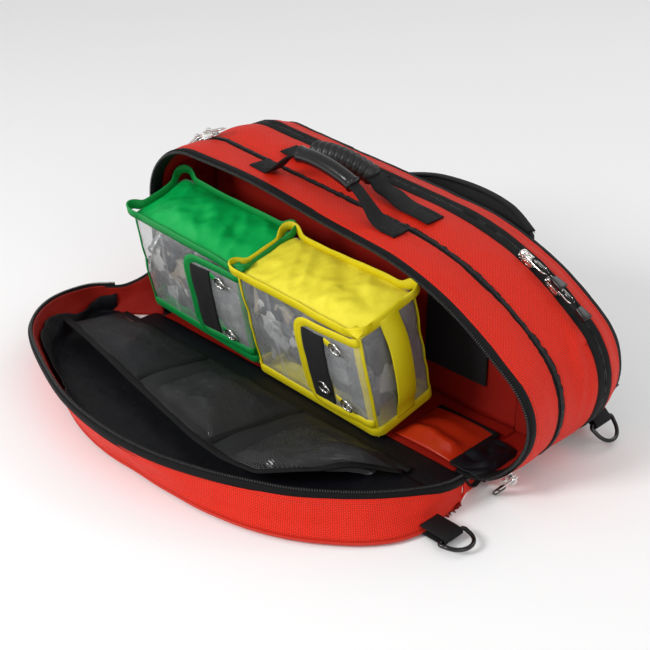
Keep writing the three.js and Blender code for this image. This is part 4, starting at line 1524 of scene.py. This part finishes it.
for side, z in (("upper", 158.0), ("lower", 62.0)):
    line = [strapPoint(i / 60, z) for i in range(61)]
    bm = bmesh.new()
    across = harness["strapWidth"] / 2
    section = [(across * math.copysign(abs(math.cos(a)) ** 0.35, math.cos(a)),
                harness["strapThick"] / 2 * math.copysign(abs(math.sin(a)) ** 0.7, math.sin(a)))
               for a in ringAngles(28)]

    def taper(s):
        wide = mix(1.0, 0.62, smooth((s - 0.6) / 0.4)) * mix(0.86, 1.0, smooth(s / 0.2))
        return 1.0, wide
    flat = [(b, a) for a, b in section]
    sweep(bm, line, flat, ups=(0, 0, 1), scaleAt=taper)

    def heldStrap(co, middle=z):
        share = max(0.0, min(1.0, (harness["strapFrom"] - co.x) / 244))
        centre = strapPoint(share, middle).z
        edge = abs(co.z - centre)
        wide = across * taper(share)[1]
        near = hill(edge, wide - 2, 5)
        return max(near, hill(co.x, harness["strapFrom"], 12), hill(co.x, harness["strapTo"], 10))
    plump("shoulder_strap_pad_" + side, bm, "rear_door", "back_foam", [foamMesh], ["shoulder_strap_" + side],
          heldStrap)
    edges = []
    for way in (-1, 1):
        rows = []
        for i in range(61):
            s = i / 60
            p = line[i] + Vector((0, 0, way * across * taper(s)[1] * 0.985))
            rows.append(p)
        part = "top" if way > 0 else "foot"
        webbing(f"strap_binding_{side}_{part}", rows, (0, 0, way), 9.0, 2.2, "rear_door")
        edges.append([(p + Vector((0, 5.6, -way * 3.5)), (0, 1, 0)) for p in rows])
    stitches("strap_stitch_" + side, edges, "rear_door", "black_webbing", threadBlack, 3.2)

    end = line[-1]
    tail = [line[42] + Vector((0, 7, 0)), line[50] + Vector((0, 6.5, 0)), end + Vector((0, 4.5, 0)),
            end + Vector((-12, 2.5, 0))]
    webbing(f"strap_top_webbing_{side}", curveThrough(tail, 40), (0, 1, 0), 25, 2.0, "rear_door")
    drop = [end + Vector((-22, 0.5, 0)), end + Vector((-34, 0, 0)), Vector((-180, 166, end.z)),
            Vector((-215, 166, end.z)), Vector((-236, 163, end.z)), Vector((-246, 161.5, end.z))]
    webbing("strap_tail_webbing_" + side, curveThrough(drop, 60), (0, 1, 0), 25, 2.0, "rear_door",
            replaced=["strap_webbing_" + side])
    bm = bmesh.new()
    middle = end + Vector((-15, 1.5, 0))
    for dx, thick in ((-10, 3.4), (-3.5, 2.6), (3.5, 2.6), (10, 3.4)):
        addBlock(bm, middle + Vector((dx, 0, 0)), (thick, 4.6, 31))
    for dz in (-16.5, 16.5):
        addBlock(bm, middle + Vector((0, 0, dz)), (24, 4.6, 4.0))
    softenEdges(bm, 0.8)
    newPiece("ladder_lock_" + side, bm, "rear_door", "black_plastic", [plasticBlack])
    tabStitch("strap_root_stitch_" + side, [Vector((-222 - 18 * a, 167.3 - 2.5 * a, end.z + b)) for a, b in
                                            ((0, -9), (1, -9), (1, 9), (0, 9))], (0, 1, 0), "rear_door")


def panelPlace(u, v):
    return acrossOutline(u, v, harness["back"] + harness["panel"] / 2, 4.0)


bm = bentGrid(170, 40, panelPlace, (outlineLength, 200), None)
bmesh.ops.remove_doubles(bm, verts=bm.verts, dist=0.2)
bmesh.ops.recalc_face_normals(bm, faces=bm.faces)
bmesh.ops.solidify(bm, geom=list(bm.faces), thickness=harness["panel"])
bmesh.ops.recalc_face_normals(bm, faces=bm.faces)
quilt = [(-118, "x"), (30, "x"), (150, "x"), (108, "z")]


def heldPanel(co):
    lines = [hill(co.x if way == "x" else co.z, place, 4.5) for place, way in quilt]
    outline = hill(co.y, harness["back"] - 1, 2.5)
    return min(1.0, max(lines + [outline]))


plump("back_pad", bm, "rear_door", "back_foam", [foamMesh], ["back_panel"], heldPanel)
points, ups = archLine(157.5, -1.0, 300)
webbing("back_edge_binding", points, ups, 11.0, 2.2, "rear_door")
loopLine = [(150, 166, 96), (160, 178, 99), (166, 186, 108), (160, 178, 117), (150, 166, 120)]
webbing("haul_loop", curveThrough(loopLine, 40), (1, 0.3, 0), 18, 2.2, "rear_door")
print("harness")


# floor, light and camera

def makeStage():
    bm = bmesh.new()
    bmesh.ops.create_grid(bm, x_segments=1, y_segments=1, size=6.0)
    mesh = bpy.data.meshes.new("studio_floor")
    bm.to_mesh(mesh)
    bm.free()
    ground = bpy.data.objects.new("studio_floor", mesh)
    scene.collection.objects.link(ground)
    paper, _, _ = newMaterial("studio_paper", (0.93, 0.93, 0.93), 0.9)
    mesh.materials.append(paper)
    world = bpy.data.worlds.new("studio")
    scene.world = world
    world.use_nodes = True
    world.node_tree.nodes["Background"].inputs[0].default_value = (1, 1, 1, 1)
    world.node_tree.nodes["Background"].inputs[1].default_value = studio["sky"]
    for name, place, size, power in studio["lamps"]:
        lamp = bpy.data.lights.new(name, "AREA")
        lamp.shape = "RECTANGLE"
        lamp.size, lamp.size_y = size
        lamp.energy = power
        holder = bpy.data.objects.new(name, lamp)
        scene.collection.objects.link(holder)
        holder.location = place
        holder.rotation_mode = "QUATERNION"
        holder.rotation_quaternion = (Vector((0, 0, 0.1)) - Vector(place)).to_track_quat("-Z", "Y")


studio = {"sky": 0.58,
          "lamps": [("lamp_key", (-0.5, -2.0, 1.35), (0.7, 0.7), 34),
                    ("lamp_fill", (1.9, -0.6, 1.2), (1.4, 1.4), 10),
                    ("lamp_back", (0.2, 1.9, 1.7), (1.6, 0.8), 8)]}
shot = {"target": (0.0, 0.0, 0.108), "distance": 1.2925, "yaw": 44.9, "pitch": 28.7, "roll": 0.3,
        "lens": 71.583, "across": 0.0082, "up": -0.0199}


def makeCamera():
    yaw, pitch, roll = (math.radians(shot[k]) for k in ("yaw", "pitch", "roll"))
    back = Vector((math.sin(yaw) * math.cos(pitch), -math.cos(yaw) * math.cos(pitch), math.sin(pitch)))
    right = Vector((math.cos(yaw), math.sin(yaw), 0))
    up = back.cross(right)
    right, up = (right * math.cos(roll) + up * math.sin(roll), up * math.cos(roll) - right * math.sin(roll))
    lens = bpy.data.cameras.new("camera")
    lens.lens = shot["lens"]
    lens.sensor_width = 36
    lens.clip_start, lens.clip_end = 0.05, 20
    eye = bpy.data.objects.new("camera", lens)
    scene.collection.objects.link(eye)
    place = Vector(shot["target"]) + back * shot["distance"] + right * shot["across"] + up * shot["up"]
    eye.matrix_world = Matrix.Translation(place) @ axes(right, up, back)
    scene.camera = eye


makeStage()
makeCamera()
scene.view_settings.view_transform = "Standard"

print("done")
